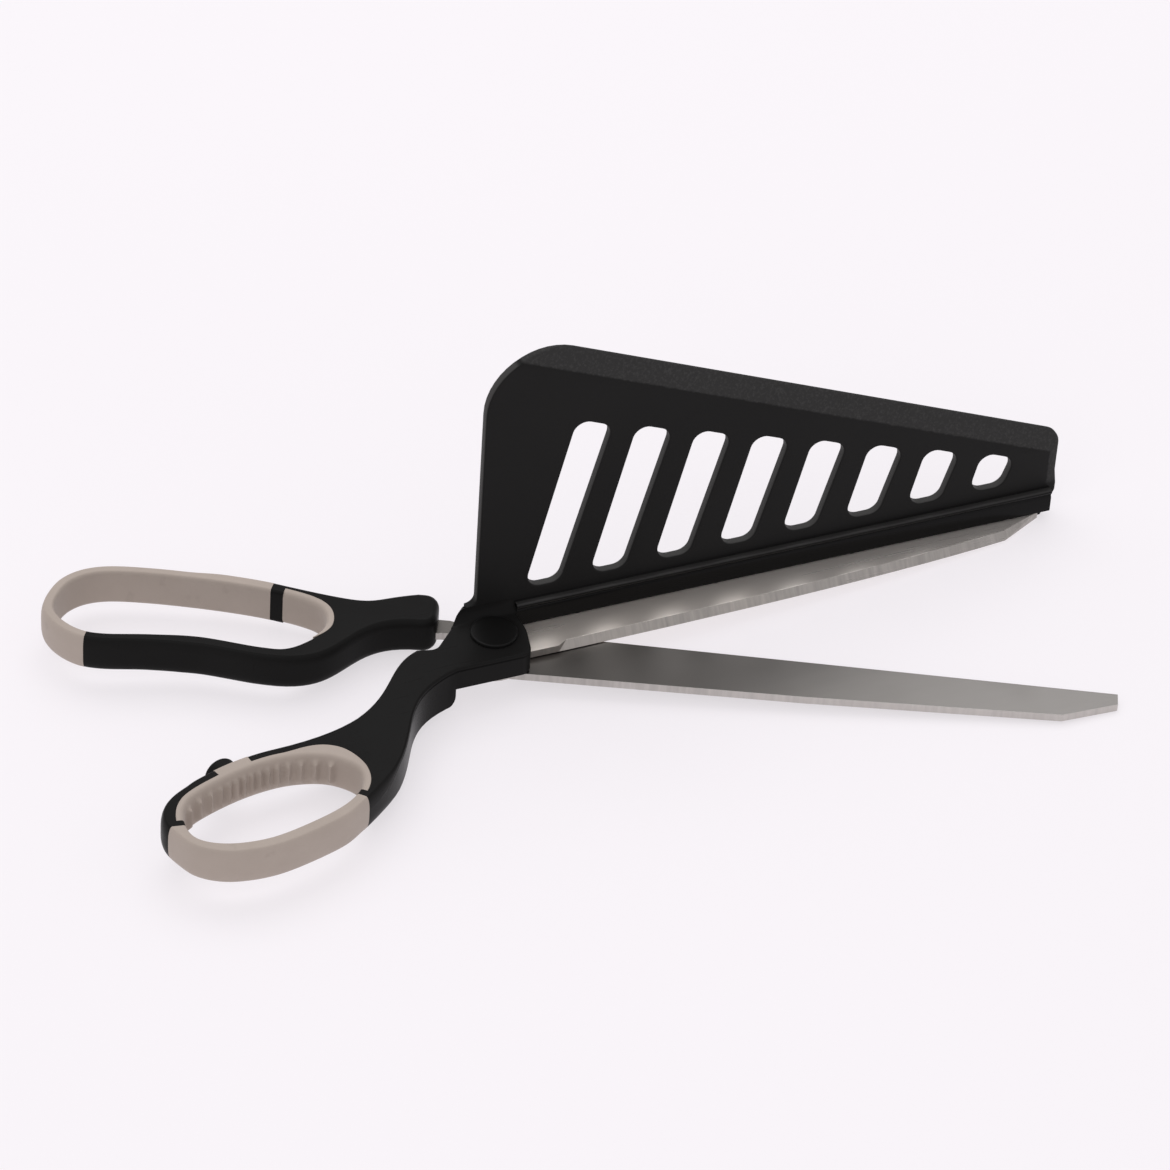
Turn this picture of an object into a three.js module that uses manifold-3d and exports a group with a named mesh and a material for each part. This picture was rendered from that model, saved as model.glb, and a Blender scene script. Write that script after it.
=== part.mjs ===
// Pizza scissors: two steel blades on a pivot, a slotted spatula along one blade, and two soft-grip handles.
// Millimetres, +Z up. The Z axis is the pivot axis, and z = 0 is the flat underside of the pivot nut.
// The spatula half stays put. The cutting half is modelled shut, along +X, and its group turns it open.

import * as THREE from 'three';
import { mergeVertices } from 'three/addons/utils/BufferGeometryUtils.js';
import Module from 'manifold-3d';

const wasm = await Module();
wasm.setup();

// Gap and turn
const FIT = 0.3; // between pieces that touch
const REST_ANGLE = 26; // degrees that the cutting half is open

// Pivot
const BOLT_DIAMETER = 5;
const HEAD_DIAMETER = 8.6;
const HEAD_HEIGHT = 1.6;
const SOCKET_WIDTH = 4; // across the flats of the socket in the bolt's head
const SOCKET_DEPTH = 1.1;
const NUT_FLANGE = 1.2; // thickness of the flat nut under the blades
const NUT_BARREL_WALL = 0.8; // the nut's barrel, which the blades turn on
const SPANNER_HOLE = 1.4; // diameter of the two holes in the nut's flange
const SPANNER_PITCH = 9;
const SPANNER_DEPTH = 0.8;
const WASHER_OVERHANG = 1.9; // washers and nut, past the bolt's head
const WASHER_THICKNESS = 0.5;
const SPRING_THICKNESS = 0.3;
const SPRING_DISH = 0.2; // rise of the dished washer from its rim to its bore
const CAP_THICKNESS = 1.2;
const CAP_LIP = 0.6; // how far the cap reaches past its bore
const CAP_SKIRT = 1.1; // wall of the ring under the cap
const CAP_CLEARANCE = 1; // between the cap and the ledge

// Spatula blade
const BLADE_THICKNESS = 2.5;
const GRIND = 1.8; // width of the ground edge
const GRIND_RUNOUT = 3; // length over which the grind begins
const EYE_RADIUS = 9; // steel round the pivot
const SPATULA_BLADE_LENGTH = 183;
const SPINE_SETBACK = 1.3; // spine, in front of the spatula's back
const RICASSO_LENGTH = 19; // unground stretch, from the pivot
const RICASSO_EDGE = 5; // near edge there, from the pivot line
const EDGE_BELLY = 4.4; // the curved edge's middle, from the pivot line
const TIP_CUT = 14.3; // slanted tip, along the blade
const TIP_EDGE = 1; // height of the edge where the slant begins
const TIP_BLUNT = 2.6; // square end at the spine
const THUMB_TANG_LENGTH = 32;
const THUMB_TANG_WIDTH = 8;
const THUMB_TANG_BEARING = 198.4;

// Cutting blade
const CUTTING_BLADE_LENGTH = 185;
const CUTTING_SPINE = 7.3; // spine, from the pivot line
const HEEL = 24; // start of the edge, from the pivot
const HEEL_EDGE = 11; // edge at the heel, from the pivot line
const POINT_EDGE = 6; // edge at the point
const POINT_BLUNT = 4.7; // square end at the edge
const POINT_CUT = 16.5; // slanted point, along the blade
const SPINE_RISE = 1.6; // how far the spine draws in towards the point
const FINGER_TANG_START = 14; // where the tang is at its full width, from the pivot
const FINGER_TANG_SHOWN = 3.3; // bare tang between there and the handle
const FINGER_TANG_LENGTH = 42;
const FINGER_TANG_WIDTH = 6.2;
const FINGER_TANG_OFFSET = 11.5; // middle of the tang, from the pivot line
const FINGER_TANG_END = 3.4; // width at its end
const FINGER_TANG_DROP = 3.5; // how far its end lies back towards the pivot line

// Handle bands, which both loops share
const BAND_HEIGHT = 12;
const BAND_THICKNESS = 4;
const LINING = 2.3; // soft lining inside the black frame
const STRIP_HEIGHT = 6; // frame inside the soft sleeve
const STRIP_THICKNESS = 1.6;
const RIB_COUNT = 15; // ribs on the thumb lining
const RIB_DEPTH = 0.5;
const RIB_FIRST = 28; // bearings of the first and the last rib, from the loop's centre
const RIB_LAST = 166;
const POST_ARC = 6.5; // black posts between the sleeve and the lining, in degrees

// Thumb loop
const THUMB_HOLE_LENGTH = 55;
const THUMB_HOLE_WIDTH = 30;
const THUMB_CENTRE_X = -85.2;
const THUMB_CENTRE_Y = -46;
const THUMB_TILT = 6;
const THUMB_POST_LEFT = 183; // bearings of the posts; the sleeve runs from the first round to the second
const THUMB_POST_RIGHT = 349.5;
const THUMB_HEEL = 2.8; // extra thickness at the left end
const THUMB_HEEL_BEARING = 176;
const THUMB_HEEL_ARC = 22; // degrees over which it fades to each side
const BUMPER_BEARING = 112;
const BUMPER_LENGTH = 9;
const BUMPER_RADIUS = 4.4;
const BUMPER_DOME = 4; // height of the round end
const BUMPER_STEM = 2.2; // radius of the stem in the frame
const WINDOW_ARC = 38; // degrees of rim, round the bumper, where the lining comes out through the frame
const WINDOW_WALL = 0.5; // frame between the window and the bumper's stem

// Finger loop
const FINGER_HOLE_LENGTH = 82.4;
const FINGER_HOLE_WIDTH = 28;
const FINGER_CENTRE_Y = 2.8;
const FINGER_POST_RIGHT = 25.2; // the sleeve runs from the first post round to the second
const FINGER_POST_LEFT = 208.3;
const FINGER_LINING = -17; // bearing where the lining begins, on the near side of the neck
const TANG_COVER = 1.8; // plastic between the end of the tang and the loop

// Necks. Each side is one curve: where it starts along the blade, its slope and its handle length there, the
// bearing where it meets the loop, and its handle length at that end.
const THUMB_NECK_FAR = { start: -24, slope: 196, leave: 16, bearing: 60, arrive: 40 };
const THUMB_NECK_NEAR = { start: -16, slope: 195, leave: 28, bearing: -20, arrive: 38 };
const FINGER_NECK_FAR = { start: -24, slope: 195, leave: 18, bearing: 26, arrive: 33 };
const FINGER_NECK_NEAR = { start: -22, slope: 180, leave: 24, bearing: -32, arrive: 27 };
const NECK_CLEARANCE = 20; // radius round the pivot that the thumb neck's lower part leaves free
const NECK_RAMP = 32; // length over which the thumb neck comes down from the housing to the band
const FINGER_WALL_NEAR = 1.8; // plastic beside the cutting blade's tang
const FINGER_WALL_FAR = 3.4;
const FINGER_ROUND = 4.5;

// Pivot housing
const HOUSING_RIGHT = 10;
const HOUSING_WALL = 2.4; // plastic beside the blade's eye
const HOUSING_SHOULDER = 5.5; // left end of the straight far side
const HOUSING_WAIST = 18.5; // hollow between the housing and the neck
const HOUSING_WAIST_DEPTH = 1; // depth of the hollow, past the pivot line
const NECK_RISE = 0.8; // far side of the neck, from the pivot line
const HOUSING_ROUND = 3;
const HOUSING_WEB = 1.4; // between the blade and the washer under the bolt's head
const LEDGE_HEIGHT = 3; // seat for the spatula's foot, over the housing
const LEDGE_WIDTH = 4;

// Spatula
const PLATE_LEFT = -2.2;
const TOE_LENGTH = 5.3; // toe past the blade's tip
const PLATE_THICKNESS = 3;
const BEVEL_WIDTH = 7; // slope along the sloping top, down to a thin edge
const BEVEL_EDGE = 0.9;
const PLATE_TALL = 107.9; // height of the sloping top over the blade, at the left edge
const PLATE_SHORT = 27.7; // and at the right edge
const PLATE_ROUND = 19.5; // big corner
const TOE_ROUND = 7; // corner over the toe
const HEEL_ROUND = 7; // corner at the toe's foot
const FLARE = 3; // hollow round from the plate's left edge out to its foot
const FLARE_FOOT = 0.6; // thickness of its end
const RAIL_INSET = 2.2; // right end of the rail, short of the plate's right edge
const RAIL_DEPTH = 5.1; // rail, from its front to the plate's back
const RAIL_HEIGHT = 7.9;
const TONGUE_LENGTH = 7; // tongue that holds the foot in the ledge
const TONGUE_DEPTH = 4;
const TONGUE_THICKNESS = 1.8;
const SLOT_COUNT = 8;
const SLOT_FIRST = 13; // left corner of the first slot
const SLOT_END = 18.8; // from the last slot's foot to the plate's right edge
const SLOT_WIDTH = 11.2;
const SLOT_LEAN = 12; // degrees
const SLOT_ROUND = 4;
const SLOT_FOOT = 4.2; // above the rail
const SLOT_HEAD_LEFT = 26; // below the sloping top, at the plate's left edge
const SLOT_HEAD_RIGHT = 10; // and at its right edge

// Spatula screws
const SCREW_COUNT = 4;
const SCREW_FIRST = 30; // from the pivot
const SCREW_LAST = 18; // from the blade's tip
const SCREW_DIAMETER = 2.6;
const SCREW_HEAD = 4.6;
const SCREW_SINK = 0.1; // depth of the head below the blade's face
const SCREW_GRIP = 5; // length in the rail

// Sampling
const SIDES = 32; // sides of a full circle
const LOOP_POINTS = 64;
const RIB_POINTS = 192;
const NECK_POINTS = 12;
const ROUND_STEPS = 5;
const WEDGE_STEPS = 24;
const REACH = 60; // how far a cutting tool runs past the handles

// Levels, from the table up
const washerLevel = NUT_FLANGE + FIT;
const cuttingLevel = washerLevel + WASHER_THICKNESS + FIT;
const spatulaLevel = cuttingLevel + BLADE_THICKNESS + FIT;
const railLevel = spatulaLevel + BLADE_THICKNESS + FIT;
const headWasherLevel = railLevel + HOUSING_WEB + FIT;
const springLevel = headWasherLevel + WASHER_THICKNESS + FIT;
const headLevel = springLevel + SPRING_THICKNESS + SPRING_DISH + FIT;
const housingTop = headLevel + HEAD_HEIGHT + FIT;
const ledgeTop = housingTop + LEDGE_HEIGHT;
const bandMiddle = (cuttingLevel + BLADE_THICKNESS + spatulaLevel) / 2;
const bandBottom = bandMiddle - BAND_HEIGHT / 2;
const bandTop = bandMiddle + BAND_HEIGHT / 2;

// Radii round the pivot, and distances from the pivot line
const boltRadius = BOLT_DIAMETER / 2;
const barrelRadius = boltRadius + FIT + NUT_BARREL_WALL;
const pivotHole = barrelRadius + FIT;
const washerRadius = HEAD_DIAMETER / 2 + WASHER_OVERHANG;
const headBore = washerRadius + FIT;
const plateBack = headBore + CAP_LIP + CAP_CLEARANCE + LEDGE_WIDTH;
const plateFront = plateBack - PLATE_THICKNESS;
const plateRight = SPATULA_BLADE_LENGTH + FIT + TOE_LENGTH;
const railFront = plateBack - RAIL_DEPTH;
const spatulaSpine = plateBack - SPINE_SETBACK;
const housingNear = EYE_RADIUS + FIT + HOUSING_WALL;
const fingerTangNear = FINGER_TANG_OFFSET - FINGER_TANG_WIDTH / 2;
const fingerTangFar = FINGER_TANG_OFFSET + FINGER_TANG_WIDTH / 2;
const fingerNeckRight = -FINGER_TANG_START - FINGER_TANG_SHOWN;

// Finishes
const steel = { color: 0xb9b6b4, roughness: 0.32, metalness: 1 };
const zinc = { color: 0x9c9b98, roughness: 0.45, metalness: 1 };
const blackPlastic = { color: 0x2a2829, roughness: 0.5, metalness: 0 };
const mattBlack = { color: 0x201e1e, roughness: 0.65, metalness: 0 };
const softTaupe = { color: 0xa2958c, roughness: 0.75, metalness: 0 };

// Solids

const radians = THREE.MathUtils.degToRad;
const point = (x, y) => new THREE.Vector2(x, y);
const polar = (bearing, radius) => point(radius, 0).rotateAround(point(0, 0), radians(bearing));

/** Closed solid of a geometry, with its shared corners merged and its empty triangles left out. */
function solid(geometry) {
  const bare = geometry.clone();
  bare.deleteAttribute('normal');
  bare.deleteAttribute('uv');
  const merged = mergeVertices(bare);
  const corners = merged.index.array;
  const triVerts = [];
  for (let i = 0; i < corners.length; i += 3) {
    const [a, b, c] = [corners[i], corners[i + 1], corners[i + 2]];
    if (a !== b && b !== c && c !== a) triVerts.push(a, b, c);
  }
  const vertProperties = Float32Array.from(merged.attributes.position.array);
  const mesh = new wasm.Mesh({ numProp: 3, vertProperties, triVerts: Uint32Array.from(triVerts) });
  return new wasm.Manifold(mesh);
}

const join = (...bodies) => bodies.reduce((sum, body) => sum.add(body));
const cut = (body, ...tools) => tools.reduce((rest, tool) => rest.subtract(tool), body);

/** Geometry of an outline, drawn out along +Z. */
function drawnOut(outline, depth, holes = []) {
  const shape = new THREE.Shape(outline);
  shape.holes = holes.map((hole) => new THREE.Path(hole));
  return new THREE.ExtrudeGeometry(shape, { depth, bevelEnabled: false });
}

/** Solid of a plan outline between two heights. */
const prism = (outline, bottom, top) => solid(drawnOut(outline, top - bottom).translate(0, 0, bottom));

/** Solid of an outline in X and Z, between two values of Y. */
const upright = (outline, front, back, holes) =>
  solid(drawnOut(outline, back - front, holes).rotateX(Math.PI / 2).translate(0, back, 0));

const block = (left, right, near, far, bottom, top) =>
  prism([point(left, near), point(right, near), point(right, far), point(left, far)], bottom, top);

/** Geometry turned about Z from a closed profile of [radius, height], counter-clockwise. */
function turnedGeometry(profile) {
  const ring = [...profile, profile[0]].map(([radius, height]) => point(radius, height));
  return new THREE.LatheGeometry(ring, SIDES).rotateX(Math.PI / 2);
}

const turned = (profile) => solid(turnedGeometry(profile));
const disc = (radius, bottom, top) => turned([[0, bottom], [radius, bottom], [radius, top], [0, top]]);
const tube = (bore, radius, bottom, top) =>
  turned([[bore, bottom], [radius, bottom], [radius, top], [bore, top]]);

/** Hexagonal prism, given the width across its flats. */
function hexagon(width, bottom, top) {
  const corner = width / 2 / Math.cos(Math.PI / 6);
  return prism(Array.from({ length: 6 }, (_, i) => polar(60 * i, corner)), bottom, top);
}

/** Solid between a lower and an upper outline that have the same number of points. */
function loft(lower, upper, bottom, top) {
  const count = lower.length;
  const positions = [...lower.map((p) => [p.x, p.y, bottom]), ...upper.map((p) => [p.x, p.y, top])].flat();
  const floor = THREE.ShapeUtils.triangulateShape(lower, []).map(([a, b, c]) => [c, b, a]);
  const roof = THREE.ShapeUtils.triangulateShape(upper, []).map((face) => face.map((i) => i + count));
  const walls = lower.flatMap((_, i) => {
    const next = (i + 1) % count;
    return [[i, next, next + count], [i, next + count, i + count]];
  });
  const geometry = new THREE.BufferGeometry();
  geometry.setAttribute('position', new THREE.Float32BufferAttribute(positions, 3));
  geometry.setIndex([...floor, ...roof, ...walls].flat());
  return solid(geometry);
}

/** Named mesh of a solid, with its finish. */
function piece(name, body, finish) {
  const { vertProperties, triVerts } = body.getMesh();
  const geometry = new THREE.BufferGeometry();
  geometry.setAttribute('position', new THREE.Float32BufferAttribute(vertProperties, 3));
  geometry.setIndex(Array.from(triVerts));
  geometry.computeVertexNormals();
  const mesh = new THREE.Mesh(geometry, new THREE.MeshStandardMaterial(finish));
  mesh.name = name;
  return mesh;
}

// Outlines

/** Outline moved outwards by a distance. Its points run counter-clockwise. */
function offset(outline, distance) {
  return outline.map((p, i) => {
    const before = p.clone().sub(outline.at(i - 1)).normalize();
    const after = outline[(i + 1) % outline.length].clone().sub(p).normalize();
    const mitre = point(before.y + after.y, -before.x - after.x);
    return mitre.multiplyScalar(distance / (1 + before.dot(after))).add(p);
  });
}

/** Outline with straight sides and a round at each corner [x, y, radius]. */
function rounded(corners) {
  return corners.flatMap(([x, y, radius = 0], i) => {
    const corner = point(x, y);
    if (radius === 0) return [corner];
    const back = point(...corners.at(i - 1)).sub(corner).normalize();
    const ahead = point(...corners[(i + 1) % corners.length]).sub(corner).normalize();
    const half = Math.acos(back.dot(ahead)) / 2;
    const centre = back.clone().add(ahead).setLength(radius / Math.sin(half)).add(corner);
    const start = back.clone().multiplyScalar(radius / Math.tan(half)).add(corner);
    const sweep = (Math.PI - 2 * half) * Math.sign(ahead.cross(back));
    const steps = Array.from({ length: ROUND_STEPS + 1 }, (_, step) => (sweep * step) / ROUND_STEPS);
    return steps.map((turn) => start.clone().rotateAround(centre, turn));
  });
}

/** Wedge of plan round a centre, between two bearings. */
function wedge(centre, [from, to], radius) {
  const turn = (to - from) / WEDGE_STEPS;
  const arc = Array.from({ length: WEDGE_STEPS + 1 }, (_, i) => polar(from + turn * i, radius));
  return [centre.clone(), ...arc.map((p) => p.add(centre))];
}

/** Smooth closed outline through points given as shares of a length and a width. */
function oval(shares, centre, length, width, tilt) {
  const corners = shares.map(([u, v]) => new THREE.Vector3(u * length, v * width, 0));
  const curve = new THREE.CatmullRomCurve3(corners, true, 'centripetal');
  const points = curve.getSpacedPoints(LOOP_POINTS).slice(0, -1);
  return points.map((p) => point(p.x, p.y).rotateAround(point(0, 0), radians(tilt)).add(centre));
}

/** Point of an outline at a bearing from a centre, with its outward normal. */
function atBearing(outline, centre, bearing) {
  const aim = polar(bearing, 1);
  const facing = outline.map((p) => p.clone().sub(centre).normalize().dot(aim));
  const i = facing.indexOf(Math.max(...facing));
  const along = outline[(i + 1) % outline.length].clone().sub(outline.at(i - 1)).normalize();
  return { place: outline[i].clone(), along, outward: point(along.y, -along.x) };
}

/** Points of one side of a neck, from its start by the pivot to a tangent end on the loop. */
function neckSide({ start, slope, leave, bearing, arrive }, height, outline, centre) {
  const { place, along } = atBearing(outline, centre, bearing);
  const from = point(start, height);
  const first = polar(slope, leave).add(from);
  const back = along.dot(from.clone().sub(place)) < 0 ? -arrive : arrive;
  const second = along.multiplyScalar(back).add(place);
  return new THREE.CubicBezierCurve(from, first, second, place).getPoints(NECK_POINTS);
}

// Loops

const thumbShares = [
  [-0.497, 0.01], [-0.48, -0.22], [-0.352, -0.395], [-0.148, -0.48], [0.088, -0.445], [0.312, -0.35],
  [0.452, -0.19], [0.503, 0.03], [0.45, 0.24], [0.346, 0.39], [0.167, 0.484], [-0.066, 0.475], [-0.322, 0.37],
  [-0.44, 0.24],
];
const fingerShares = [
  [-0.5, -0.06], [-0.476, -0.28], [-0.4, -0.46], [-0.31, -0.51], [-0.14, -0.46], [0.039, -0.435],
  [0.257, -0.52], [0.358, -0.5], [0.442, -0.28], [0.474, 0.02], [0.43, 0.25], [0.279, 0.4], [0.075, 0.485],
  [-0.181, 0.52], [-0.36, 0.475], [-0.461, 0.28],
];
const thumbCentre = point(THUMB_CENTRE_X, THUMB_CENTRE_Y);
const fingerCentreX = -FINGER_TANG_LENGTH - TANG_COVER - BAND_THICKNESS - FINGER_HOLE_LENGTH / 2;
const fingerCentre = point(fingerCentreX, FINGER_CENTRE_Y);
const thumbHole = oval(thumbShares, thumbCentre, THUMB_HOLE_LENGTH, THUMB_HOLE_WIDTH, THUMB_TILT);
const fingerHole = oval(fingerShares, fingerCentre, FINGER_HOLE_LENGTH, FINGER_HOLE_WIDTH, 0);
const thumbRim = offset(thumbHole, BAND_THICKNESS);
const fingerRim = offset(fingerHole, BAND_THICKNESS);

/** Frame and soft grips of a loop: a sleeve round the frame from post to post, and a lining inside it. */
function loopPieces({ hole, rim, centre, length, width, posts, liningFrom, neck, ribs = [] }) {
  const wrap = [posts[0] + POST_ARC / 2, posts[1] - POST_ARC / 2];
  const lined = [liningFrom, posts[0] - POST_ARC / 2];
  const gap = THREE.MathUtils.radToDeg(FIT / (width / 2));
  const sector = ([from, to], spread) =>
    prism(wedge(centre, [from - spread, to + spread], length), bandBottom - REACH, bandTop + REACH);
  const band = (inner, outer, height) => {
    const inside = prism(inner, bandMiddle - height, bandMiddle + height);
    return cut(prism(outer, bandMiddle - height / 2, bandMiddle + height / 2), inside);
  };
  const stripInner = (BAND_THICKNESS - STRIP_THICKNESS) / 2;
  const stripOuter = stripInner + STRIP_THICKNESS;
  const full = band(hole, rim, BAND_HEIGHT);
  const strip = band(offset(hole, stripInner), offset(hole, stripOuter), STRIP_HEIGHT);
  const bore = band(offset(hole, stripInner - FIT), offset(hole, stripOuter + FIT), STRIP_HEIGHT + 2 * FIT);
  const through = (outline) => prism(outline, bandBottom - REACH, bandTop + REACH);
  const liningTool = through(offset(hole, LINING + FIT)).intersect(sector(lined, gap));
  const shell = cut(join(full, neck), through(hole), sector(wrap, gap), liningTool);
  const liningInside = ribs.length ? ribbed(hole, centre, ribs) : hole;
  return {
    frame: join(shell, strip.intersect(sector(wrap, 2 * gap))),
    sleeve: cut(full.intersect(sector(wrap, 0)), bore),
    lining: band(liningInside, offset(hole, LINING), BAND_HEIGHT).intersect(sector(lined, 0)),
  };
}

/** Outline of a hole with round ribs that stand in from it at some bearings. */
function ribbed(hole, centre, bearings) {
  const fine = new THREE.SplineCurve([...hole, hole[0]]).getSpacedPoints(RIB_POINTS).slice(0, -1);
  const pitch = bearings[1] - bearings[0];
  return fine.map((p) => {
    const bearing = THREE.MathUtils.radToDeg(p.clone().sub(centre).angle());
    const phase = Math.min(...bearings.map((rib) => Math.abs(bearing - rib) / pitch));
    const depth = phase < 0.5 ? RIB_DEPTH * Math.cos(Math.PI * phase) ** 2 : 0;
    return p.clone().sub(centre).multiplyScalar(1 - depth / p.distanceTo(centre)).add(centre);
  });
}

// Blades

/** Plan of the spatula blade's tang. */
function thumbTang() {
  const along = polar(THUMB_TANG_BEARING, THUMB_TANG_LENGTH);
  const across = polar(THUMB_TANG_BEARING + 90, THUMB_TANG_WIDTH / 2);
  const start = point(0, 0);
  return [start.clone().sub(across), along.clone().sub(across), along.clone().add(across), start.add(across)];
}

/** Plan of the cutting blade's tang, which runs beside the pivot into the finger handle. */
function fingerTang() {
  const end = FINGER_TANG_OFFSET - FINGER_TANG_DROP;
  return [
    point(0, 0),
    point(0, HEEL_EDGE),
    point(-FINGER_TANG_START, fingerTangFar),
    point(fingerNeckRight, fingerTangFar),
    point(-FINGER_TANG_LENGTH, end + FINGER_TANG_END / 2),
    point(-FINGER_TANG_LENGTH, end - FINGER_TANG_END / 2),
    point(-FINGER_TANG_START, fingerTangNear),
  ];
}

/** Steel of the spatula blade forward of the pivot: the outline at its lower face and at its upper face. */
function spatulaBlank() {
  const tipStart = SPATULA_BLADE_LENGTH - TIP_CUT;
  const first = point(RICASSO_LENGTH + GRIND_RUNOUT, -RICASSO_EDGE);
  const last = point(tipStart, TIP_EDGE);
  const belly = point((first.x + 2 * last.x) / 3, -EDGE_BELLY);
  const edge = new THREE.QuadraticBezierCurve(first, belly, last).getPoints(NECK_POINTS);
  const heel = [point(0, -RICASSO_EDGE), point(RICASSO_LENGTH, -RICASSO_EDGE)];
  const end = [
    point(SPATULA_BLADE_LENGTH, spatulaSpine - TIP_BLUNT),
    point(SPATULA_BLADE_LENGTH, spatulaSpine),
    point(0, spatulaSpine),
  ];
  const ground = edge.map((p) => point(p.x, p.y + GRIND));
  return { lower: [...heel, ...edge, ...end], upper: [...heel, ...ground, ...end] };
}

/** Steel of the cutting blade forward of the pivot, ground on its lower face. */
function cuttingBlank() {
  const spine = [
    point(0, -CUTTING_SPINE),
    point(CUTTING_BLADE_LENGTH / 2, -CUTTING_SPINE),
    point(CUTTING_BLADE_LENGTH - POINT_CUT, SPINE_RISE - CUTTING_SPINE),
    point(CUTTING_BLADE_LENGTH, POINT_EDGE - POINT_BLUNT),
  ];
  const edge = [point(CUTTING_BLADE_LENGTH, POINT_EDGE), point(HEEL + GRIND_RUNOUT, HEEL_EDGE)];
  const heel = [point(HEEL, HEEL_EDGE), point(0, HEEL_EDGE)];
  const ground = edge.map((p) => point(p.x, p.y - GRIND));
  return { lower: [...spine, ...ground, ...heel], upper: [...spine, ...edge, ...heel] };
}

const screwPitch = (SPATULA_BLADE_LENGTH - SCREW_LAST - SCREW_FIRST) / (SCREW_COUNT - 1);
const screwPlaces = Array.from({ length: SCREW_COUNT }, (_, i) => SCREW_FIRST + i * screwPitch);
const screwLine = (railFront + spatulaSpine) / 2;

/** Solids of the screws, one by one, or of their holes when they are grown by a clearance. */
function screws(grow, tipLevel) {
  const base = spatulaLevel + (grow > 0 ? -grow : SCREW_SINK);
  const rise = (SCREW_HEAD - SCREW_DIAMETER) / 2;
  const neck = spatulaLevel + SCREW_SINK + rise;
  const shank = SCREW_DIAMETER / 2 + grow;
  const head = SCREW_HEAD / 2 + grow;
  const profile = [[0, base], [head, base], [head, spatulaLevel + SCREW_SINK], [shank, neck]];
  const screw = turnedGeometry([...profile, [shank, tipLevel], [0, tipLevel]]);
  return screwPlaces.map((x) => solid(screw.clone().translate(x, screwLine, 0)));
}

function spatulaBlade() {
  const { lower, upper } = spatulaBlank();
  const top = spatulaLevel + BLADE_THICKNESS;
  const steelBody = join(
    loft(lower, upper, spatulaLevel, top),
    disc(EYE_RADIUS, spatulaLevel, top),
    prism(thumbTang(), spatulaLevel, top),
  );
  return cut(steelBody, disc(pivotHole, spatulaLevel - FIT, top + FIT), ...screws(FIT, top + FIT));
}

function cuttingBlade() {
  const { lower, upper } = cuttingBlank();
  const top = cuttingLevel + BLADE_THICKNESS;
  const steelBody = join(
    loft(lower, upper, cuttingLevel, top),
    disc(EYE_RADIUS, cuttingLevel, top),
    prism(fingerTang(), cuttingLevel, top),
  );
  return cut(steelBody, disc(pivotHole, cuttingLevel - FIT, top + FIT));
}

// Handles

const tongueLeft = PLATE_LEFT + (HOUSING_RIGHT - PLATE_LEFT - TONGUE_LENGTH) / 2;

/** Tongue under the spatula's foot, or its slot when it is grown by a clearance. */
function tongue(grow) {
  const left = tongueLeft - grow;
  const right = tongueLeft + TONGUE_LENGTH + grow;
  const middle = (plateFront + plateBack) / 2;
  const half = TONGUE_THICKNESS / 2 + grow;
  const bottom = ledgeTop - TONGUE_DEPTH - grow;
  return block(left, right, middle - half, middle + half, bottom, ledgeTop + 2 * FIT);
}

/** Plan of the thumb neck, between the housing and the loop. */
function thumbNeck() {
  const far = neckSide(THUMB_NECK_FAR, NECK_RISE, thumbRim, thumbCentre);
  const near = neckSide(THUMB_NECK_NEAR, -housingNear, thumbRim, thumbCentre);
  return [...far, thumbCentre, ...near.reverse(), point(0, -housingNear), point(0, 0)];
}

/** Rim of the thumb loop with its thicker left end. */
function thumbHeel() {
  return thumbRim.map((p) => {
    const out = p.clone().sub(thumbCentre);
    const away = Math.abs(THREE.MathUtils.radToDeg(out.angle()) - THUMB_HEEL_BEARING) / THUMB_HEEL_ARC;
    const bulge = away < 1 ? THUMB_HEEL * Math.cos((away * Math.PI) / 2) ** 2 : 0;
    return out.setLength(bulge).add(p);
  });
}

/** Pivot housing over the spatula blade, with the ledge that the spatula stands on. */
function housing() {
  const plan = rounded([
    [HOUSING_RIGHT, plateBack],
    [-HOUSING_SHOULDER, plateBack, HOUSING_ROUND],
    [-HOUSING_WAIST, -HOUSING_WAIST_DEPTH, HOUSING_ROUND],
    [THUMB_NECK_FAR.start, NECK_RISE],
    [THUMB_NECK_FAR.start, -housingNear],
    [HOUSING_RIGHT - HOUSING_ROUND, -housingNear, HOUSING_ROUND],
    [HOUSING_RIGHT, 0],
  ]);
  const ledgeFront = plateBack - LEDGE_WIDTH;
  const ledge = block(-HOUSING_WAIST, HOUSING_RIGHT, ledgeFront, plateBack, spatulaLevel, ledgeTop);
  return join(prism(plan, spatulaLevel, housingTop), prism(plan, spatulaLevel, ledgeTop).intersect(ledge));
}

/** Space over the thumb neck and its loop, above the slope that runs down from the housing. */
function neckRamp() {
  const start = -HOUSING_WAIST;
  const outline = [
    point(start, housingTop),
    point(start, housingTop + REACH),
    point(start - NECK_RAMP - 2 * REACH, housingTop + REACH),
    point(start - NECK_RAMP - 2 * REACH, bandTop),
    point(start - NECK_RAMP, bandTop),
  ];
  return upright(outline, -2 * REACH, REACH);
}

/** Space that the spatula blade takes in the housing and the neck. */
function spatulaBladePocket() {
  const { lower } = spatulaBlank();
  const bottom = spatulaLevel - FIT;
  return join(
    prism(offset(lower, FIT), bottom, railLevel),
    disc(EYE_RADIUS + FIT, bottom, railLevel),
    prism(offset(thumbTang(), FIT), bottom, railLevel),
  );
}

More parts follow.
